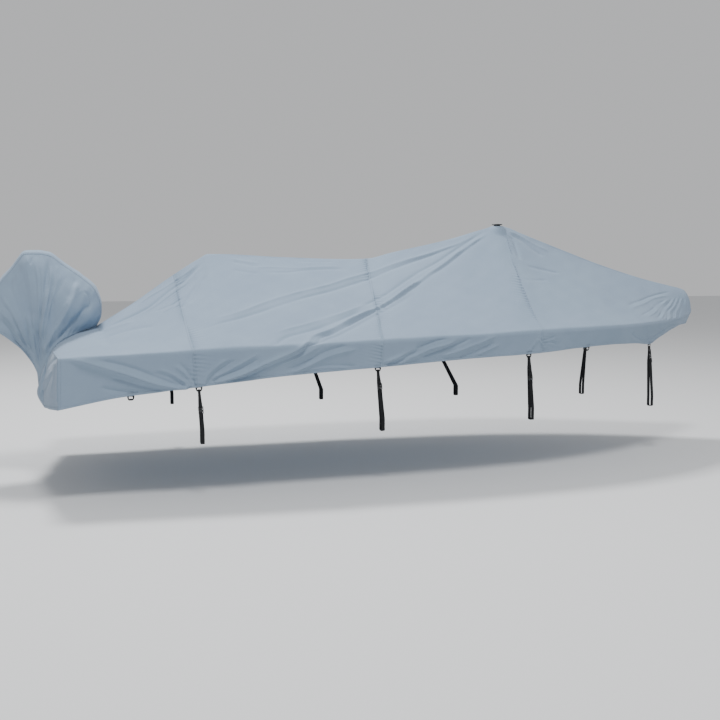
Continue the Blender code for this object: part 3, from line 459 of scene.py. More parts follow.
set_shader(CANVAS, {"Sheen Weight": 0.12, "Sheen Roughness": 0.5, "Specular IOR Level": 0.3})


def add_cloth(bm, points, outs):
    """A grid of cloth through a table of points, facing out, with its places along its threads."""
    columns, rows = points.shape[:2]
    layer = bm.verts.layers.float_vector.get("thread") or bm.verts.layers.float_vector.new("thread")
    steps = [np.linalg.norm(np.diff(points, axis=axis), axis=-1) for axis in (0, 1)]
    u = so_far(np.median(steps[0], axis=1))[:, None] + points[0, 0, 0]
    v = np.concatenate([np.zeros((columns, 1)), np.cumsum(steps[1], axis=1)], axis=1)
    v -= v[:, rows // 2][:, None]
    u = np.broadcast_to(u, v.shape)
    made = bmesh.ops.create_grid(bm, x_segments=columns - 1, y_segments=rows - 1, size=0.5)["verts"]
    for vert in made:
        i = round((vert.co.x + 0.5) * (columns - 1))
        j = round((vert.co.y + 0.5) * (rows - 1))
        vert.co = points[i, j]
        vert[layer] = (u[i, j], v[i, j], 0)
    i, j = columns // 2, rows // 2
    along, down = points[i, j] - points[i - 1, j], points[i, j] - points[i, j - 1]
    if np.cross(along, down) @ outs[i, j] < 0:
        bmesh.ops.reverse_faces(bm, faces=list({face for vert in made for face in vert.link_faces}))


MERGE = 1e-5  # vertices closer than this are one


def add_object(name, data):
    made = bpy.data.objects.new(name, data)
    bpy.context.scene.collection.objects.link(made)
    return made


def add_mesh(name, bm, finish):
    mesh = bpy.data.meshes.new(name)
    bm.to_mesh(mesh)
    bm.free()
    mesh.shade_smooth()
    mesh.materials.append(finish)
    return add_object(name, mesh)


def add_piece(name, bm, finish, slot, *nodes):
    """Closes a piece's joins, moves it to the model's frame, and lets it stand for its CAD nodes."""
    bmesh.ops.remove_doubles(bm, verts=bm.verts, dist=MERGE)
    bmesh.ops.translate(bm, verts=bm.verts, vec=TO_ORIGIN)
    piece = add_mesh(name, bm, finish)
    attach(piece, "root")
    if nodes:
        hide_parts(*nodes)
    return piece


CANVAS_THICK = 0.0012


def add_canvas(name, bm, **sheet):
    """One of the cut cloths, which stands for the CAD node of its name. What is known of its sheet is not
    used.
    """
    piece = add_piece(f"canvas_{name}", bm, CANVAS, "canvas", name)
    thickness = piece.modifiers.new("thickness", "SOLIDIFY")
    thickness.thickness = CANVAS_THICK
    thickness.offset = -1


def lay(bm, cloth, along, across, side=None):
    """A grid of cloth over places along and across. With no side given, those below 0 are to starboard."""
    u, v = np.meshgrid(along, across, indexing="ij")
    if side is None:
        v, side = np.abs(v), np.where(v < 0, STARBOARD, PORT)
    add_cloth(bm, *cloth.laid(u, v, side))


def both_sides(across):
    """Places across from the starboard hem to the port one, negative to starboard."""
    return np.concatenate([-across[:0:-1], across])


def stretch(start, end, cell, finer_start=True, finer_end=True):
    """Places from start to end, about a cell apart, with closer ones by each seam."""
    close, clear = np.array([0.003, 0.007, 0.012, 0.018, 0.025]), 0.03
    middle = np.linspace(start, end, round((end - start) / cell) + 1)
    low, high = start + clear * finer_start, end - clear * finer_end
    middle = middle[(middle > low) & (middle < high)]
    first = start + close if finer_start else []
    last = end - close[::-1] if finer_end else []
    return np.concatenate([[start], first, middle, last, [end]])


def across_cells(top, bend, skirt):
    counts = enumerate((top, bend, skirt))
    spans = [np.linspace(start, start + 1, cells, endpoint=False) for start, cells in counts]
    return np.concatenate([*spans, [3]])


ALONG_CELL, FINE_ALONG_CELL, BOW_FAN_STATION = 0.0132, 0.0095, 4.62
ACROSS, BOW_ACROSS = across_cells(150, 8, 38), across_cells(98, 8, 22)


def add_panel(name, start, end, across, **sheet):
    bm = bmesh.new()
    if start < WELL_STATION:
        for side in SIDES.values():
            lay(bm, COVER, stretch(start, WELL_STATION, FINE_ALONG_CELL, finer_end=False), across, side)
        lay(bm, COVER, stretch(WELL_STATION, end, FINE_ALONG_CELL, finer_start=False), both_sides(across))
    elif end == BOW_STATION:
        wide = stretch(start, BOW_FAN_STATION, ALONG_CELL, finer_end=False)
        fine = stretch(BOW_FAN_STATION, end, ALONG_CELL / 2, finer_start=False)
        lay(bm, COVER, np.concatenate([wide, fine[1:]]), both_sides(across))
    else:
        lay(bm, COVER, stretch(start, end, ALONG_CELL), both_sides(across))
    add_canvas(name, bm, held="stretched", **sheet)


add_panel("panel_aft", 0, SEAMS["aft"], ACROSS, flat=(2.84, 0.86), area=2.257)
add_panel("panel_mid", SEAMS["aft"], SEAMS["mid"], ACROSS, flat=(2.92, 1.52), area=3.982)
add_panel("panel_fore", SEAMS["mid"], SEAMS["fore"], ACROSS, flat=(2.98, 1.20), area=3.489)
add_panel("panel_bow", SEAMS["fore"], BOW_STATION, BOW_ACROSS, flat=(2.92, 1.94), area=3.665)

# ==== Stern panel ====
# One piece of the same canvas, sewn along the cover's aft edge and down its two corners. It hangs
# freely on each side of the well, and its hem is lowest in the middle.

STERN_HEM_DROP, STERN_HEM_BACK, STERN_BELLY = 0.095, 0.105, 0.028
STERN_TOP, STERN_MIDDLE = 1.5, 2.5  # places along its top: the well's side, and the centre plane
STERN_SEWN = 1.5  # the place across the corner where its top is


def smooth_stern(along, across, side):
    """Points of the stern panel. Along is 0 at the corner, across is the corner's own, from 1.5."""
    along, across, side = np.broadcast_arrays(np.asarray(along, float), across, side)
    edge = smooth_cover(0 * along, np.clip(STERN_TOP - along, 0, STERN_TOP), side)
    rows = WELL_STERN + (along - STERN_TOP) * (WELL_END - WELL_STERN)
    top = np.where((along <= STERN_TOP)[..., None], edge, line_points(WELL, "row", rows, side))
    corner_top, corner_hem, corner = (smooth_cover(0 * along, a, side) for a in (STERN_SEWN, 3, across))
    share = long(corner_top - corner) / long(corner_top - corner_hem)
    inward = 1 - np.abs(top[..., 1:2] / corner_top[..., 1:2])
    middle = 1 - (1 - inward) ** 2
    hem = corner_hem * 1.0
    hem[..., :1] -= STERN_HEM_BACK * middle
    hem[..., 1:2] = top[..., 1:2] * np.abs(corner_hem[..., 1:2] / corner_top[..., 1:2])
    hem[..., 2:] -= STERN_HEM_DROP * inward
    point = top + (hem - top) * share
    point += (corner - corner_top - (corner_hem - corner_top) * share) * (1 - inward) ** 4
    point[..., :1] -= STERN_BELLY * 4 * share * (1 - share) * middle
    return point


def stern_free(point, along, across, side):
    down = eased(STERN_SEWN, 1.85, across)
    return down * eased(0, 0.12, along) * eased(0, 0.05, np.abs(point[..., 1]))


STERN_SLACK = ((0.30, 0.0024, 6), (0.11, 0.0008, 7))
STERN = Cloth(smooth_stern, (0, STERN_MIDDLE), (STERN_SEWN, 3), 1, stern_free, STERN_SLACK, seen=(0, 1, 1))
STERN_LEAN, LOW_ON_STERN = 0.06, 2.5  # folds that start above this lean to one side
STERN_FOLDS = [
    (7, 14, 56, 200, 76, 244, 92, 278),
    (-10, 14, 74, 210, 106, 246, 152, 276),
    (7, 13, 105, 220, 130, 246, 162, 266),
    (-6, 12, 124, 220, 142, 246, 170, 260),
    (8, 11, 5, 180, 12, 230, 26, 285),
    (-8, 10, 10, 170, 20, 220, 38, 280),
    (9, 12, 6, 156, 46, 198, 110, 240, 190, 284),
    (-9, 11, 20, 154, 62, 184, 126, 218, 210, 256),
    (5, 12, 52, 278, 86, 280, 134, 280),
    (7, 18, 152, 160, 166, 220, 180, 290),
    (-6, 15, 220, 160, 202, 220, 192, 290),
]
for side in SIDES.values():
    for height, width, route in in_metres(STERN_FOLDS):
        if route[0, 1] < LOW_ON_STERN:
            route[1, 0] += STERN_LEAN * side
        STERN.fold(side, height, width, route)

bm = bmesh.new()
STERN_ALONG = np.concatenate([np.linspace(0, STERN_TOP, 76)[:-1], np.linspace(STERN_TOP, STERN_MIDDLE, 46)])
STERN_DOWN = np.linspace(STERN_SEWN, 3, 37)
for side in SIDES.values():
    lay(bm, STERN, STERN_ALONG, STERN_DOWN, side)
add_canvas("panel_stern", bm, flat=(2.00, 0.44), held="hung", rests_on=["panel_aft"], area=0.642)

# ==== Hood ====
# A tall hood of the same canvas, in two shaped sides and a centre strip, sewn into the well's edge.
# It stands slack, so its folds fan out from the neck, where it is pulled in.

HOOD_TOP = table(
    row=range(2000, 15000, 1000),
    x=(257, 287, 299, 262, 165, 50, -60, -145, -226, -327, -430, -520, -583),
    z=(1095, 1160, 1250, 1370, 1466, 1550, 1628, 1640, 1636, 1520, 1396, 1288, 1199),
    pleat=(0, 0, 6, -10, 12, 4, -14, 8, 4, -10, 8, -10, 0),
)
GUSSET_HALF, GUSSET_CROWN, HOOD_BELLY = 0.100, 0.014, 0.088
HOOD_TAPER = 0.6  # how much less the belly is near the foot
# How far the mouth's hem stands off a straight line from the centre strip to the neck.
MOUTH = table(
    share=(0, 80, 180, 300, 450, 600, 750, 880, 1000),
    rise=(0, 12, 30, 50, 74, 88, 80, 54, 0),
)
MOUTH_LEAN = np.array([0.776, 0, 0.630])


def smooth_gusset(row, y, side):
    """Points of the centre strip, y metres from the centre plane."""
    row, y, side = np.broadcast_arrays(np.asarray(row, float), y, side)
    back, on = np.maximum(row - 1, WELL_FRONT), np.minimum(row + 1, WELL_NECK)
    x, z = (smooth(HOOD_TOP, "row", c, row) for c in "xz")
    along_x, along_z = (smooth(HOOD_TOP, "row", c, on) - smooth(HOOD_TOP, "row", c, back) for c in "xz")
    size = np.hypot(along_x, along_z)
    low = GUSSET_CROWN * (y / GUSSET_HALF) ** 2
    strip = np.stack([x - low * along_z / size, y, z + low * along_x / size], -1)
    front = line_points(WELL, "row", np.abs(y) / GUSSET_HALF * WELL_FRONT, np.where(y > 0, PORT, STARBOARD))
    return strip + (front - strip) * np.clip(WELL_FRONT + 1 - row, 0, 1)[..., None]


def smooth_hood(row, share, side):
    """Points of a side of the hood, share of the way from the centre strip to the well or the neck."""
    row, share, side = np.broadcast_arrays(np.asarray(row, float), share, side)
    top = smooth_gusset(row, side * GUSSET_HALF, side)
    foot = line_points(WELL, "row", row, side)
    point = top + (foot - top) * share[..., None]
    full = np.minimum(long(top - foot)[..., 0] / 0.45, 1)
    swell = np.sin(math.pi * np.clip(share, 0, 1))
    belly = HOOD_BELLY * full * swell**0.75 * (1 - HOOD_TAPER * eased(0.45, 1, share))
    belly = belly + smooth(HOOD_TOP, "row", "pleat", row) * swell
    point[..., 1] += side * belly
    to_mouth = ((row - WELL_FRONT) / (WELL_NECK - WELL_FRONT)) ** 2
    return point + MOUTH_LEAN * (smooth(MOUTH, "share", "rise", share) * to_mouth)[..., None]


def hood_free(point, row, share, side):
    return eased(0, 0.10, share) * (1 - eased(0.90, 1, share)) * eased(2, 2.8, row)


def hood_pucker(row, share, lift):
    """Adds puckers by the seams to the centre strip and to the main cover."""
    wave = np.sin(row * 9.5 + 2 * np.sin(row * 2.3))
    return lift + 0.003 * wave * (np.exp(-share / 0.10) + np.exp(-(1 - share) / 0.10))


HOOD_SLACK = ((0.26, 0.0040, 8), (0.10, 0.0014, 9))
HOOD = Cloth(smooth_hood, (WELL_FRONT, WELL_NECK), (0, 1), 1, hood_free, HOOD_SLACK, hood_pucker)
# As the main cover's, but each place is a row and a share.
HOOD_FOLDS = [
    (-12.5, 14, 800, 5, 830, 24, 890, 41, 970, 56, 1040, 68, 1120, 77),
    (11.5, 14, 780, 10, 820, 37, 880, 54, 940, 68, 1030, 79),
    (16, 26, 620, 8, 620, 34, 650, 58, 720, 78, 850, 88, 1010, 90),
    (-7, 12, 630, 8, 640, 26, 660, 42),
    (-16, 24, 480, 24, 510, 49, 550, 72, 600, 86, 700, 96, 860, 96),
    (-8, 8, 570, 17, 540, 16, 510, 20, 480, 29, 490, 41),
    (-9, 12, 990, 12, 940, 6, 880, 3, 830, 2),
    (6, 10, 990, 1, 1000, 11),
    (-8, 9, 1120, 18, 1080, 18, 1060, 20),
    (6, 8, 1110, 20, 1080, 21, 1060, 22),
    (-10.5, 12, 1230, 16, 1210, 28, 1230, 46, 1250, 59, 1250, 70),
    (9, 12, 1260, 20, 1250, 35, 1270, 50, 1290, 63),
    (-9, 12, 1300, 24, 1300, 37, 1340, 50, 1360, 62),
    (9, 12, 1200, 7, 1200, 22, 1210, 40, 1230, 54, 1240, 70),
    (-9, 12, 1130, 45, 1160, 55, 1200, 64, 1220, 73),
    (7, 12, 1070, 55, 1120, 64, 1160, 73),
    (-8, 12, 1040, 8, 1100, 7, 1150, 18),
    (7, 12, 740, 6, 750, 25, 790, 52),
]
# Fine pleats between them: a height in millimetres, and the row of each end in hundredths. Each starts
# by the crown and gathers to the neck.
PLEATS = [(-5, 675, 960), (5, 705, 985), (-4.5, 735, 1010), (4.5, 855, 1050), (-5, 890, 1075), (5, 920, 1095)]
PLEATS += [(-4.5, 950, 1115), (4.5, 1015, 1145), (-5, 1050, 1165), (4.5, 1090, 1185), (-4.5, 1135, 1205)]
PLEATS += [(4, 560, 860)]
for height, start, end in PLEATS:
    way = ((0, 10), (0.2, 36), (0.5, 60), (1, 86))
    route = [(start + (end - start) * gone, share) for gone, share in way]
    HOOD_FOLDS.append((height, 8.5, *np.ravel(route)))
for number, (height, width, route) in enumerate(in_metres(HOOD_FOLDS)):
    HOOD.fold(STARBOARD, height, width, route)
    moved = [(min(u + 0.25 * math.sin(1.9 * number), WELL_NECK), v) for u, v in route]
    HOOD.fold(PORT, height * 0.85, width * 1.15, moved)

HOOD_ROWS, HOOD_SHARES = np.linspace(WELL_FRONT, WELL_NECK, 151), np.linspace(0, 1, 61)
for side_name, side in SIDES.items():
    bm = bmesh.new()
    lay(bm, HOOD, HOOD_ROWS, HOOD_SHARES, side)
    rests_on = ["hood_gusset", "panel_aft"]
    add_canvas(f"hood_side_{side_name}", bm, flat=(1.04, 0.82), held="draped", rests_on=rests_on, area=0.534)


def gusset_free(point, row, y, side):
    return (1 - (y / GUSSET_HALF) ** 2) * eased(2, 3, row)


GUSSET_SLACK, GUSSET_EDGES = ((0.20, 0.0024, 10), (0.08, 0.0010, 11)), (-GUSSET_HALF, GUSSET_HALF)
GUSSET = Cloth(smooth_gusset, (WELL_FRONT, WELL_NECK), GUSSET_EDGES, 1, gusset_free, GUSSET_SLACK)
bm = bmesh.new()
lay(bm, GUSSET, HOOD_ROWS, np.linspace(*GUSSET_EDGES, 25), PORT)
add_canvas("hood_gusset", bm, flat=(0.21, 1.50), held="draped", rests_on=["panel_aft"], area=0.291)

# ==== Seams ====
# Flat-felled seams: each pair of edges is folded into a band 20 mm wide, with two rows of lockstitch
# in bonded polyester thread. The hood's seams and the stern's edge are made in the same way.


def tenths(*numbers):
    """Pairs of numbers, given in tenths of a millimetre, in metres."""
    return (np.reshape(numbers, (-1, 2)) / 10000).tolist()


# Each profile gives, across a band, the distance from its line and the height over the cloth, with a
# dip at each row of stitches. Then come the distances of the rows of stitches, in metres.
FELLED = tenths(-104, -6, -100, 8, -92, 14, -72, 9, -50, 16, 0, 17, 50, 16, 72, 9, 92, 14, 100, 8, 104, -6)
FELLED_ROWS = (-0.0072, 0.0072)
LAPPED = tenths(-4, -6, 0, 12, 30, 9, 60, 16, 130, 16, 168, 9, 195, 15, 204, 8, 208, -6)
LAPPED_ROWS = (0.0030, 0.0168)
STITCH_LONG, STITCH_APART, STITCH_WIDE, STITCH_HIGH = 0.0042, 0.0058, 0.0011, 0.0009
STITCH_REACH = 0.002  # how far either way a stitch takes its direction from
SEAM_STITCH_OVER = 0.0013  # from the cloth to the middle of a seam's stitches
SEAM_IN = 0.02  # from a cross seam to the inner line of its run

# Bonded polyester thread: a fine twisted filament, a little lighter and glossier than the canvas. Its
# 0.4 mm twist is drawn 1.2 mm long.
THREAD = new_finish("bonded_polyester_thread")
place = add_node(THREAD, "TexCoord", {}, "Object")
spiral = {"Vector": place, "Scale": WAVE_TURN / 0.0012}
twist = add_node(THREAD, "TexWave", spiral, "Fac", bands_direction="DIAGONAL")
tones = {SHARE: twist, UNDER: linear("#7C8A98"), OVER: linear("#A2AEBA")}
toned = add_node(THREAD, "Mix", tones, MIXED, data_type="RGBA")
twisted = add_node(THREAD, "Bump", {"Strength": 0.3, "Distance": 0.0002, "Height": twist})
glossy = add_node(THREAD, "MapRange", {0: twist, FROM: 0.62, TO: 0.48})
link_shader(THREAD, toned, glossy, twisted)
set_shader(THREAD, {"Sheen Weight": 0.1})


def banded(cloth, line, inner, side, at, height):
    """Points of a band on the cloth, and the ways out of it, at distances from a line of places and at
    heights over the cloth. Inner is places a little in from the line."""
    line, inner, at = (np.asarray(part, float) for part in (line, inner, at))
    side = np.broadcast_to(side, len(line))
    edge, _ = cloth.laid(*line.T, side)
    near, _ = cloth.laid(*inner.T, side)
    metre = (inner - line) / np.maximum(long(edge - near), 0.002)
    u, v = (line[:, None] + metre[:, None] * at[:, None]).transpose(2, 0, 1)
    points, outs = cloth.laid(u, v, side[:, None])
    return points + outs * np.asarray(height)[:, None], outs


def stitches_along(points, outs):
    """Evenly spaced stitches on a line: their middles, the way along them and the way out."""
    size = so_far(long(np.diff(points, axis=0))[:, 0])
    at = np.arange(STITCH_APART / 2, size[-1], STITCH_APART)
    middle, out, on, back = (
        np.stack([np.interp(at + ahead, size, line[:, k]) for k in range(3)], -1)
        for line, ahead in ((points, 0), (outs, 0), (points, STITCH_REACH), (points, -STITCH_REACH))
    )
    return middle, unit(on - back), unit(out)


def add_stitches(name, rows):
    """All the stitches of some rows: one small spindle, doubled as often as needed and then placed."""
    middle, way, out = (np.concatenate(parts) for parts in zip(*rows))
    wide = np.cross(out, way)
    bm = bmesh.new()
    bmesh.ops.create_uvsphere(bm, u_segments=4, v_segments=3, radius=0.5)
    shape = np.array([vert.co for vert in bm.verts])
    while len(bm.verts) < len(middle) * len(shape):
        bmesh.ops.duplicate(bm, geom=bm.verts[:] + bm.edges[:] + bm.faces[:])
    bmesh.ops.delete(bm, geom=bm.verts[len(middle) * len(shape) :], context="VERTS")
    size = shape[:, [2, 0, 1]] * (STITCH_LONG, STITCH_WIDE, STITCH_HIGH)
    axes = np.stack([way, wide, out], 1)
    points = (middle[:, None] + np.einsum("sk,nkc->nsc", size, axes)).reshape(-1, 3)
    for vert, point in zip(bm.verts, points):
        vert.co = point
    add_piece(name, bm, THREAD, "canvas")


def sew(name, runs, stitched_at, over):
    """Rows of stitches at distances from the lines of some runs, just over the cloth."""
    rows = [banded(*run, [row], [over]) for run in runs for row in stitched_at]
    add_stitches(f"stitches_{name}", [stitches_along(points[:, 0], outs[:, 0]) for points, outs in rows])


def add_band(name, run, profile, stitched_at):
    """A sewn band along a run of cloth, and its rows of stitches."""
    bm = bmesh.new()
    add_cloth(bm, *banded(*run, *np.transpose(profile)))
    add_piece(f"seam_{name}", bm, CANVAS, "canvas")
    sew(name, [run], stitched_at, SEAM_STITCH_OVER)


def places(u, v):
    """A line of places from two columns, either of which may be one number."""
    return np.stack(np.broadcast_arrays(np.asarray(u, float), np.asarray(v, float)), -1)


# A run is a cloth, a line of places on it, a line a little further in, and the side.
SIGNED = both_sides(ACROSS)
for panel, seam in SEAMS.items():
    line, inner = (places(station, np.abs(SIGNED)) for station in (seam, seam + SEAM_IN))
    add_band(panel, (COVER, line, inner, np.where(SIGNED < 0, STARBOARD, PORT)), FELLED, FELLED_ROWS)

# The stern's edge and corners, the well's edge on the cover, and the hood's foot and long seams.
by_well, rows = np.linspace(0, WELL_STATION, 60), np.linspace(2.3, WELL_NECK, 150)
for side_name, side in SIDES.items():
    for name, cloth, line, inner in (
        ("stern", COVER, places(0, ACROSS), places(0.03, ACROSS)),
        ("well", COVER, places(by_well, 0), places(by_well, 0.04)),
        ("foot", HOOD, places(rows, 1), places(rows, 0.96)),
        ("crown", HOOD, places(rows, 0), places(rows, 0.03)),
    ):
        add_band(f"{name}_{side_name}", (cloth, line, inner, side), LAPPED, LAPPED_ROWS)

# ==== Hem ====
# All round its lower edge the canvas is turned up inside and sewn with one row of stitches, which
# leaves a stiff band 18 mm wide. The hood's mouth is hemmed in the same way.

HEM_PROFILE = tenths(184, -6, 180, 7, 172, 13, 146, 8, 118, 15, 20, 17, -4, 13, -12, 1, -10, -13)
HEM_PROFILE += tenths(4, -22, 100, -22, 170, -18, 184, -6)
HEM_ROW, HEM_STITCH_OVER = 0.0146, 0.0012  # from its edge to its stitches, and from the cloth to them
IN_FROM_HEM = 0.08  # from the hem to the inner line of its run, as a share of the skirt
IN_FROM_MOUTH = 0.2  # the same at the mouth, in rows


def hemmed(cloth, line, inner, side):
    """Points round a turned hem, and the ways out of it. Beyond its edge the cloth runs straight on."""
    at, height = np.transpose(HEM_PROFILE)
    points, outs = banded(cloth, line, inner, side, np.maximum(at, 0), height)
    further, _ = banded(cloth, line, inner, side, [0, 0.004], [0, 0])
    way = further[:, :1] - further[:, 1:]
    return points + unit(way) * -np.minimum(at, 0)[:, None], outs


def close_shell(bm):
    """Joins a shape's edges where they meet, fills its open ends and turns its faces outwards."""
    bmesh.ops.remove_doubles(bm, verts=bm.verts, dist=MERGE)
    bmesh.ops.holes_fill(bm, edges=[edge for edge in bm.edges if edge.is_boundary], sides=0)
    bmesh.ops.recalc_face_normals(bm, faces=bm.faces)


def add_hem(name, *runs):
    """A hem along runs of cloth, which follow each other, and its row of stitches."""
    bm = bmesh.new()
    add_cloth(bm, *(np.concatenate(part) for part in zip(*(hemmed(*run) for run in runs))))
    close_shell(bm)
    add_piece(f"hem_{name}", bm, CANVAS, "canvas")
    sew(f"hem_{name}", runs, [HEM_ROW], HEM_STITCH_OVER)


for name, cloth, end, count in (("cover", COVER, BOW_STATION, 560), ("stern", STERN, STERN_MIDDLE, 130)):
    out_there = np.linspace(0, end, count)
    back_again = out_there[-2::-1]
    add_hem(
        name,
        (cloth, places(out_there, 3), places(out_there, 3 - IN_FROM_HEM), STARBOARD),
        (cloth, places(back_again, 3), places(back_again, 3 - IN_FROM_HEM), PORT),
    )
up_mouth = np.linspace(1, 0, 70)
over_top = np.linspace(*GUSSET_EDGES, 22)[1:-1]
edges = ((HOOD, up_mouth, STARBOARD), (GUSSET, over_top, PORT), (HOOD, up_mouth[::-1], PORT))
round_mouth = (
    (cloth, places(WELL_NECK, at), places(WELL_NECK - IN_FROM_MOUTH, at), side) for cloth, at, side in edges
)
add_hem("mouth", *round_mouth)

# ==== Cap ====
# A moulded black plastic cap on the higher peak, which holds the canvas down. It has a low collar, a
# wider rim and a shallow crown, all turned about one upright line.

CAP_PROFILE = tenths(0, 0, 250, 0, 260, 10, 260, 75, 420, 75, 435, 90, 435, 115, 410, 138, 220, 156, 0, 162)
CAP_LOW = 0.0003  # over the cloth

# Moulded nylon, black: a fine spark-eroded grain, a soft gloss and a little dust. The 0.3 mm grain is
# drawn 1.5 mm across.
MOULDED = new_finish("moulded_black_nylon")
place = add_node(MOULDED, "TexCoord", {}, "Object")
grain = add_node(MOULDED, "TexNoise", {"Vector": place, "Scale": 650.0, "Detail": 3.0})
dust = add_node(MOULDED, "TexNoise", {"Vector": place, "Scale": 40.0, "Detail": 5.0})
blacks = {SHARE: dust, UNDER: linear("#17181A"), OVER: linear("#2B2D30")}
dusted = add_node(MOULDED, "Mix", blacks, MIXED, data_type="RGBA")
grained = add_node(MOULDED, "Bump", {"Strength": 0.25, "Distance": 0.0002, "Height": grain})
worn = add_node(MOULDED, "MapRange", {0: dust, FROM: 0.38, TO: 0.58})
link_shader(MOULDED, dusted, worn, grained)
set_shader(MOULDED, {"IOR": 1.53})


def round_off(bm, geom, offset, segments, affect="EDGES"):
    bmesh.ops.bevel(bm, geom=geom, offset=offset, segments=segments, profile=0.5, affect=affect, material=-1)


bm = bmesh.new()
rim = [bm.verts.new((radius, 0, height)) for radius, height in CAP_PROFILE]
edges = [bm.edges.new(pair) for pair in zip(rim, rim[1:])]
turned = {"axis": (0, 0, 1), "cent": (0, 0, 0), "angle": 2 * math.pi, "steps": 64, "use_merge": True}
bmesh.ops.spin(bm, geom=rim + edges, **turned)
close_shell(bm)
round_off(bm, [edge for edge in bm.edges if edge.calc_face_angle(0) > 0.6], 0.0006, 3)
bmesh.ops.translate(bm, verts=bm.verts, vec=(PEAK_X, 0, PEAK_Z + CAP_LOW))
add_piece("moulded_cap", bm, MOULDED, "cap_plastic", "pole_cap")

# ==== Tabs ====
# Short tabs of black webbing, sewn behind the hem with a crossed box of stitches. Each has a slot for
# a strap, and two of the six on each side are spare.

TAB_THICK, TAB_CORNER, TAB_EDGE = 0.0024, 0.003, 0.0006
TAB_OUTLINE, TAB_HOLE = tenths(230, -250, 230, 140, 170, 300, 110, 340), tenths(120, 80, 120, 220)
TAB_BEND = 0.004  # either way from the hem
TAB_HALF, TAB_GAP = 0.026, 0.0026  # the hem that a tab lies behind, and the gap between them
BOX_HALF, BOX_NEAR, BOX_FAR = 0.019, 0.004, 0.0225  # the box of stitches, on the hem's outside
BOX_STITCH_OVER = 0.0017

# Woven polypropylene webbing, black: ribs across it about 1.5 mm apart, whose crests get a faint painted
# highlight for the soft light they catch. They are drawn at 2.2 mm, to show at all.
WEBBING = new_finish("woven_polypropylene_webbing")
thread = add_node(WEBBING, "Attribute", {}, "Vector", attribute_name="thread")
laid_in = {"Vector": thread, "Distortion": 0.5}
ribs, cords = (
    add_node(WEBBING, "TexWave", {**laid_in, "Scale": WAVE_TURN / apart}, "Fac", bands_direction=way)
    for way, apart in (("X", 0.0022), ("Y", 0.0030))
)
ribbed = add_node(WEBBING, "Math", {0: ribs, 1: cords}, operation="MULTIPLY")
fading = add_node(WEBBING, "TexNoise", {"Vector": thread, "Scale": 30.0, "Detail": 4.0})
fades = {SHARE: fading, UNDER: linear("#101114"), OVER: linear("#1E2024")}
faded = add_node(WEBBING, "Mix", fades, MIXED, data_type="RGBA")
# A faint painted highlight on the ribs' crests, added to the webbing's colour.
painted_highlight = {SHARE: 0.008, UNDER: faded, OVER: ribbed}
highlighted_ribs = add_node(WEBBING, "Mix", painted_highlight, MIXED, data_type="RGBA", blend_type="ADD")
woven_ribs = add_node(WEBBING, "Bump", {"Strength": 0.6, "Distance": 0.0005, "Height": ribbed})
polished = add_node(WEBBING, "MapRange", {0: ribbed, FROM: 0.84, TO: 0.70})
link_shader(WEBBING, highlighted_ribs, polished, woven_ribs)
set_shader(WEBBING, {"Specular IOR Level": 0.3})


def thicken(flat, thick):
    """Raises flat faces into a solid."""
    lifted = bmesh.ops.extrude_face_region(flat, geom=flat.faces[:])["geom"]
    lifted = [vert for vert in lifted if isinstance(vert, bmesh.types.BMVert)]
    bmesh.ops.translate(flat, verts=lifted, vec=(0, 0, thick))
    bmesh.ops.recalc_face_normals(flat, faces=flat.faces)


def add_into(bm, part):
    mesh = bpy.data.meshes.new("part")
    part.to_mesh(mesh)
    part.free()
    bm.from_mesh(mesh)
    bpy.data.meshes.remove(mesh)


def add_plate(bm, outline, hole, half_thick, corner_round, edge_round):
    """A flat plate round height 0, mirrored about the Y axis, with rounded corners and edges."""
    flat = bmesh.new()
    for loop in (outline, hole):
        if loop:
            mirrored = [(-half, at) for half, at in reversed(loop)]
            flat.faces.new([flat.verts.new((half, at, -half_thick)) for half, at in loop + mirrored])
    round_off(flat, flat.verts[:], corner_round, 4, "VERTICES")
    bmesh.ops.delete(flat, geom=flat.faces[:], context="FACES_ONLY")
    bmesh.ops.triangle_fill(flat, edges=flat.edges[:], use_beauty=True)
    thicken(flat, 2 * half_thick)
    level = [edge for edge in flat.edges if abs(edge.verts[0].co.z - edge.verts[1].co.z) < 1e-6]
    round_off(flat, [edge for edge in level if edge.calc_face_angle(0) > 1], edge_round, 2)
    add_into(bm, flat)


class Seat:
    """Where a tab is sewn: its place at the hem, and the ways along the hem, down the skirt and out."""

    def __init__(self, x, side):
        at = np.linspace(0, BOW_STATION, 2000)
        self.station = float(np.interp(x, smooth(HEM, "station", "x", at), at))
        self.side = side
        hem, above, on, back = (
            COVER.plain([self.station + step], [across], [side])[0]
            for step, across in ((0, 3.0), (0, 2.6), (STEP, 3.0), (-STEP, 3.0))
        )
        self.down = unit(hem - above)
        self.along = unit(on - back - self.down * ((on - back) @ self.down))
        self.out = np.cross(self.down, self.along) * -side
        u, v = np.meshgrid(self.station + np.linspace(-TAB_HALF, TAB_HALF, 9), (2.86, 2.93, 3.0))
        cloth, _ = COVER.laid(u, v, side)
        lowest = ((cloth - hem) @ self.out).min()
        self.hem = hem + self.out * (lowest - TAB_GAP - TAB_THICK / 2)


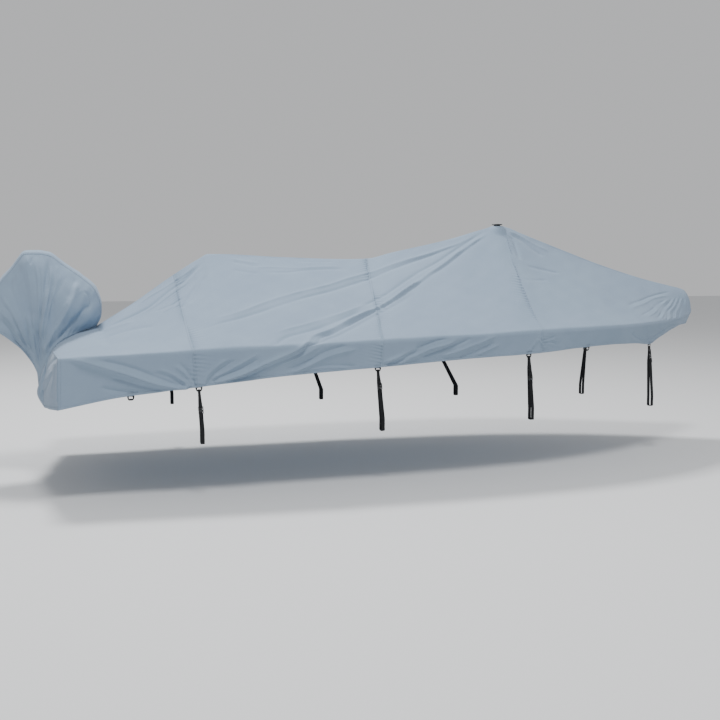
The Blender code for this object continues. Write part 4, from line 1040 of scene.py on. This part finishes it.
def add_tab(name, seat, pull):
    """A tab sewn behind the hem, and bent there to point along the pull."""
    bm = bmesh.new()
    add_plate(bm, TAB_OUTLINE, TAB_HOLE, TAB_THICK / 2, TAB_CORNER, TAB_EDGE)
    for at in (-TAB_BEND, -TAB_BEND / 2, 0, TAB_BEND / 2, TAB_BEND):
        geom = bm.verts[:] + bm.edges[:] + bm.faces[:]
        bmesh.ops.bisect_plane(bm, geom=geom, dist=1e-6, plane_co=(0, at, 0), plane_no=(0, 1, 0))
    layer = bm.verts.layers.float_vector.new("thread")
    pull_out = unit(np.cross(pull, seat.along) * -seat.side)
    for vert in bm.verts:
        half, at, high = vert.co
        vert[layer] = (at, half, 0)
        share = min(max((at + TAB_BEND) / (2 * TAB_BEND), 0), 1)
        bent = (seat.down * (share - share**2 / 2) + pull * share**2 / 2) * 2 * TAB_BEND
        path = seat.down * min(at, -TAB_BEND) + bent + pull * max(at - TAB_BEND, 0)
        normal = seat.out * (1 - share) + pull_out * share
        vert.co = seat.hem + seat.along * half + path + unit(normal) * high
    bmesh.ops.recalc_face_normals(bm, faces=bm.faces)
    add_piece(f"webbing_{name}", bm, WEBBING, "webbing", name)


def box_rows(seat):
    """The box of stitches over a tab, with a cross in it, on the outside of the hem."""
    corners = [(-1, BOX_NEAR), (1, BOX_NEAR), (1, BOX_FAR), (-1, BOX_FAR), (-1, BOX_NEAR), (1, BOX_FAR)]
    for (from_x, from_y), (to_x, to_y) in [*zip(corners, corners[1:]), (corners[1], corners[3])]:
        share = np.linspace(0, 1, 12)
        line = places(seat.station + BOX_HALF * (from_x + (to_x - from_x) * share), 3)
        down = from_y + (to_y - from_y) * share
        over = np.full(len(share), BOX_STITCH_OVER)
        points, outs = banded(COVER, line, line - (0, IN_FROM_HEM), seat.side, down, over)
        each = np.arange(len(share))
        yield stitches_along(points[each, each], outs[each, each])


# ==== Straps ====
# Four straps a side, each a loop of 25 mm webbing from its tab's slot down, round a square turn and
# back up to its buckle. Each is gathered where it passes through the slot.

STRAP_THICK, STRAP_WIDE = 0.0020, 0.025
GATHERED_THICK, GATHERED_WIDE = 0.0033, 0.017
GATHERED_END, SPREAD_END = 0.020, 0.130  # from the tab's bar to where it starts to spread, and is flat
BAR_AT, TURN_RADIUS, LEAD = 0.0266, 0.006, 0.012  # from the hem to the tab's bar, round it and on from it
SQUARE_HALF_WIDE, SQUARE_HALF_HIGH, SQUARE_ROUND = 0.026, 0.045, 0.012
BUCKLE_BAR, BUCKLE_TAIL, BAR_RADIUS = 0.0206, 0.034, 0.0031  # from its middle to an end bar, on and round it
TAIL_OVER, STRAND_UNDER = 0.0034, 0.0028  # a strap's heights over and under a buckle's end bar
STRAND_FROM, STRAND_TO = 0.004, 0.050  # where its strand starts past the bar, and runs clear of the buckle

# Each tab's X along the hem. A strap then has the X of its square turn, the turn's distance from the
# centre plane and its Z, and its buckle's share of the way down the outer strand.
TABS = {
    "1": (0.430, None),
    "2": (0.862, (0.884, 0.980, 0.405, 0.46)),
    "3": (2.076, (2.170, 0.860, 0.410, 0.30)),
    "4": (3.251, (3.400, 0.740, 0.415, 0.38)),
    "5": (3.800, None),
    "6": (4.585, (4.655, 0.420, 0.425, 0.16)),
}
PORT_SQUARE_X = {"6": 4.500}  # a strap that leans otherwise on the port side
FORWARD, UP = np.array([1.0, 0, 0]), np.array([0, 0, 1.0])


def arc(centre, first, second, radius, start, end, count):
    """Points on an arc in the plane of two directions, from one angle to another."""
    turn = np.linspace(start, end, count + 1)[:, None]
    return centre + (first * np.cos(turn) + second * np.sin(turn)) * radius


def straight(start, end, count):
    return start + (end - start) * np.linspace(0, 1, count + 1)[:, None]


def around_bar(middle, way, out):
    """A strap's end: its tail outside, the turn round a buckle's end bar, and the start of the strand."""
    bar = middle + way * BUCKLE_BAR
    tail = straight(bar + way * BUCKLE_TAIL + out * TAIL_OVER, bar + out * BAR_RADIUS, 8)
    turn = arc(bar, out, -way, BAR_RADIUS, 0.2, math.pi - 0.1, 10)
    strand = straight(bar - out * STRAND_UNDER + way * STRAND_FROM, middle + way * STRAND_TO, 5)
    return np.concatenate([tail, turn, strand])


def strap_path(seat, pull, square, buckle_share):
    """The middle of a strap from tail to tail, the centre of its turn in the slot, and its buckle's
    middle and ways."""
    out = np.array([0, seat.side, 0.0])
    pull_out = unit(np.cross(pull, seat.along) * -seat.side)
    turn_at = seat.hem + pull * BAR_AT
    over_bar = arc(turn_at, pull_out, -pull, TURN_RADIUS, 0, math.pi, 14)
    outer_start, inner_start = over_bar[0] + pull * LEAD, over_bar[-1] + pull * LEAD
    top = square + UP * SQUARE_HALF_HIGH
    inner_top, outer_top = top - out * SQUARE_HALF_WIDE, top + out * SQUARE_HALF_WIDE
    under = []
    for sign, quarter in ((-1, 2), (1, 3)):
        corner = out * (sign * (SQUARE_HALF_WIDE - SQUARE_ROUND)) - UP * (SQUARE_HALF_HIGH - SQUARE_ROUND)
        angles = (quarter * math.pi / 2, (quarter + 1) * math.pi / 2)
        under.append(arc(square + corner, out, UP, SQUARE_ROUND, *angles, 7))
    way = unit(outer_top - outer_start)
    middle = outer_start + (outer_top - outer_start) * buckle_share
    face = np.cross(way, seat.along)
    face *= np.sign(face @ out) / long(face)
    above, below = around_bar(middle, -way, face), around_bar(middle, way, face)[::-1]
    parts = [above, straight(above[-1], outer_start, 5)[1:], over_bar, straight(inner_start, inner_top, 16)]
    parts += [*under, straight(outer_top, below[0], 8), below[1:]]
    return np.concatenate(parts), turn_at, (middle, way, face)


def add_strap(name, seat, path, turn_at):
    """A flat woven band along a path, its width as near as it can be to the hem's way, then the X way."""
    spread = eased(GATHERED_END, SPREAD_END, long(path - turn_at))
    tangent = unit(np.concatenate([path[1:], path[-1:]]) - np.concatenate([path[:1], path[:-1]]))
    wide = seat.along * (1 - spread) + FORWARD * spread
    wide = unit(wide - tangent * (wide * tangent).sum(1, keepdims=True))
    thick = np.cross(tangent, wide)
    half_wide = (GATHERED_WIDE + (STRAP_WIDE - GATHERED_WIDE) * spread) / 2
    half_thick = (GATHERED_THICK + (STRAP_THICK - GATHERED_THICK) * spread) / 2
    ring = [(-0.94, -1), (-0.5, -1), (0, -1), (0.5, -1), (0.94, -1), (1, -0.4), (1, 0.4)]
    ring += [(-x, -y) for x, y in ring] + ring[:1]
    points = np.stack([path + wide * half_wide * x + thick * half_thick * y for x, y in ring], 1)
    bm = bmesh.new()
    add_cloth(bm, points, points - path[:, None])
    close_shell(bm)
    add_piece(f"webbing_{name}", bm, WEBBING, "webbing", name)


boxes, buckles = [], {}
for side_name, side in SIDES.items():
    for number, (hem_x, strap) in TABS.items():
        seat = Seat(hem_x, side)
        spot = f"{side_name}_{number}"
        boxes += box_rows(seat)
        if strap is None:
            add_tab(f"tab_{spot}", seat, seat.down)
            continue
        square_x, square_half, square_z, buckle_share = strap
        if side == PORT:
            square_x = PORT_SQUARE_X.get(number, square_x)
        square = np.array([square_x, side * square_half, square_z])
        pull = unit(square - seat.hem)
        add_tab(f"tab_{spot}", seat, pull)
        path, turn_at, buckles[spot] = strap_path(seat, pull, square, buckle_share)
        add_strap(f"strap_{spot}", seat, path, turn_at)
add_stitches("stitches_tabs", boxes)

# ==== Buckles ====
# Side-release buckles in moulded black plastic, 48 mm long. A forked half clicks into a housing, and
# its two springy arms show on each side. A bar at each end holds the strap.

# Each plate's outline and slot, half its thickness, and how round its corners and edges are.
END_FRAME = (tenths(175, 100, 175, 240), tenths(135, 138, 135, 188), 0.0018, 0.0025, 0.0009)
HOUSING = (tenths(140, -20, 165, 80, 165, 132), None, 0.0048, 0.0020, 0.0014)
THUMB_REST = (tenths(75, 20, 95, 100), None, 0.0053, 0.0020, 0.0004)
COLLAR = (tenths(165, -132, 165, -85, 135, -70), None, 0.0036, 0.0015, 0.0010)
ARM = tenths(125, -105, 168, -90, 180, -10, 168, 58, 130, 64)
ARM_HALF_THICK, ARM_ROUND = 0.0024, 0.0008

template = bmesh.new()
for plate in (END_FRAME, HOUSING, THUMB_REST, COLLAR):
    add_plate(template, *plate)
for sign in (-1, 1):
    arm = bmesh.new()
    arm.faces.new([arm.verts.new((sign * half, at, -ARM_HALF_THICK)) for half, at in ARM])
    thicken(arm, 2 * ARM_HALF_THICK)
    round_off(arm, arm.edges[:], ARM_ROUND, 2)
    add_into(template, arm)
other_frame = bmesh.new()
add_plate(other_frame, *END_FRAME)
half_turn = Matrix.Rotation(math.pi, 3, "Z")
bmesh.ops.rotate(other_frame, verts=other_frame.verts, cent=(0, 0, 0), matrix=half_turn)
add_into(template, other_frame)

for spot, (middle, way, face) in buckles.items():
    bm = template.copy()
    axes = np.stack([np.cross(way, face), way, face, middle], 1)
    bmesh.ops.transform(bm, matrix=Matrix((*axes, (0, 0, 0, 1))), verts=bm.verts)
    add_piece(f"moulded_buckle_{spot}", bm, MOULDED, "buckle_plastic", f"buckle_{spot}")
template.free()

# ==== Floor, light and camera ====
# A pale studio floor under two soft square lights and an even sky, seen from the photograph's
# viewpoint. It is wide enough to reach past the edges of every view.

FLOOR_HALF = 40  # metres
FLOOR = new_finish("pale_studio_floor")
set_shader(FLOOR, {"Base Color": linear("#DCDDDE"), "Roughness": 0.9})
bm = bmesh.new()
bmesh.ops.create_grid(bm, x_segments=1, y_segments=1, size=FLOOR_HALF)
bmesh.ops.translate(bm, verts=bm.verts, vec=(0, 0, TO_ORIGIN.z))
add_mesh("floor", bm, FLOOR)

world = bpy.data.worlds.new("studio")
bpy.context.scene.world = world
world.use_nodes = True
sky = world.node_tree.nodes["Background"].inputs
sky["Color"].default_value, sky["Strength"].default_value = linear("#F4F5F7"), 0.62

LIT_PLACE = Vector((-0.8, 0, -0.9))
for name, place, size, power in (
    ("back light", (-3.4, 3.8, 9.0), 2.0, 1185),
    ("front light", (-2.4, -5.4, 8.8), 2.2, 700),
):
    lamp = bpy.data.lights.new(name, "AREA")
    lamp.size = size
    lamp.energy = power
    light = add_object(name, lamp)
    light.location = place
    light.rotation_euler = (LIT_PLACE - Vector(place)).to_track_quat("-Z", "Y").to_euler()

CAMERA_PLACE, CAMERA_YAW, CAMERA_PITCH = (-3.363, -7.2, -0.3578), math.radians(16.9), math.radians(5.41)
camera_data = bpy.data.cameras.new("camera")
camera_data.lens = 47.5
camera_data.sensor_width = 36
camera = add_object("camera", camera_data)
camera.location = CAMERA_PLACE
ahead = Vector((math.sin(CAMERA_YAW), math.cos(CAMERA_YAW), -math.tan(CAMERA_PITCH)))
camera.rotation_euler = ahead.to_track_quat("-Z", "Y").to_euler()
bpy.context.scene.camera = camera
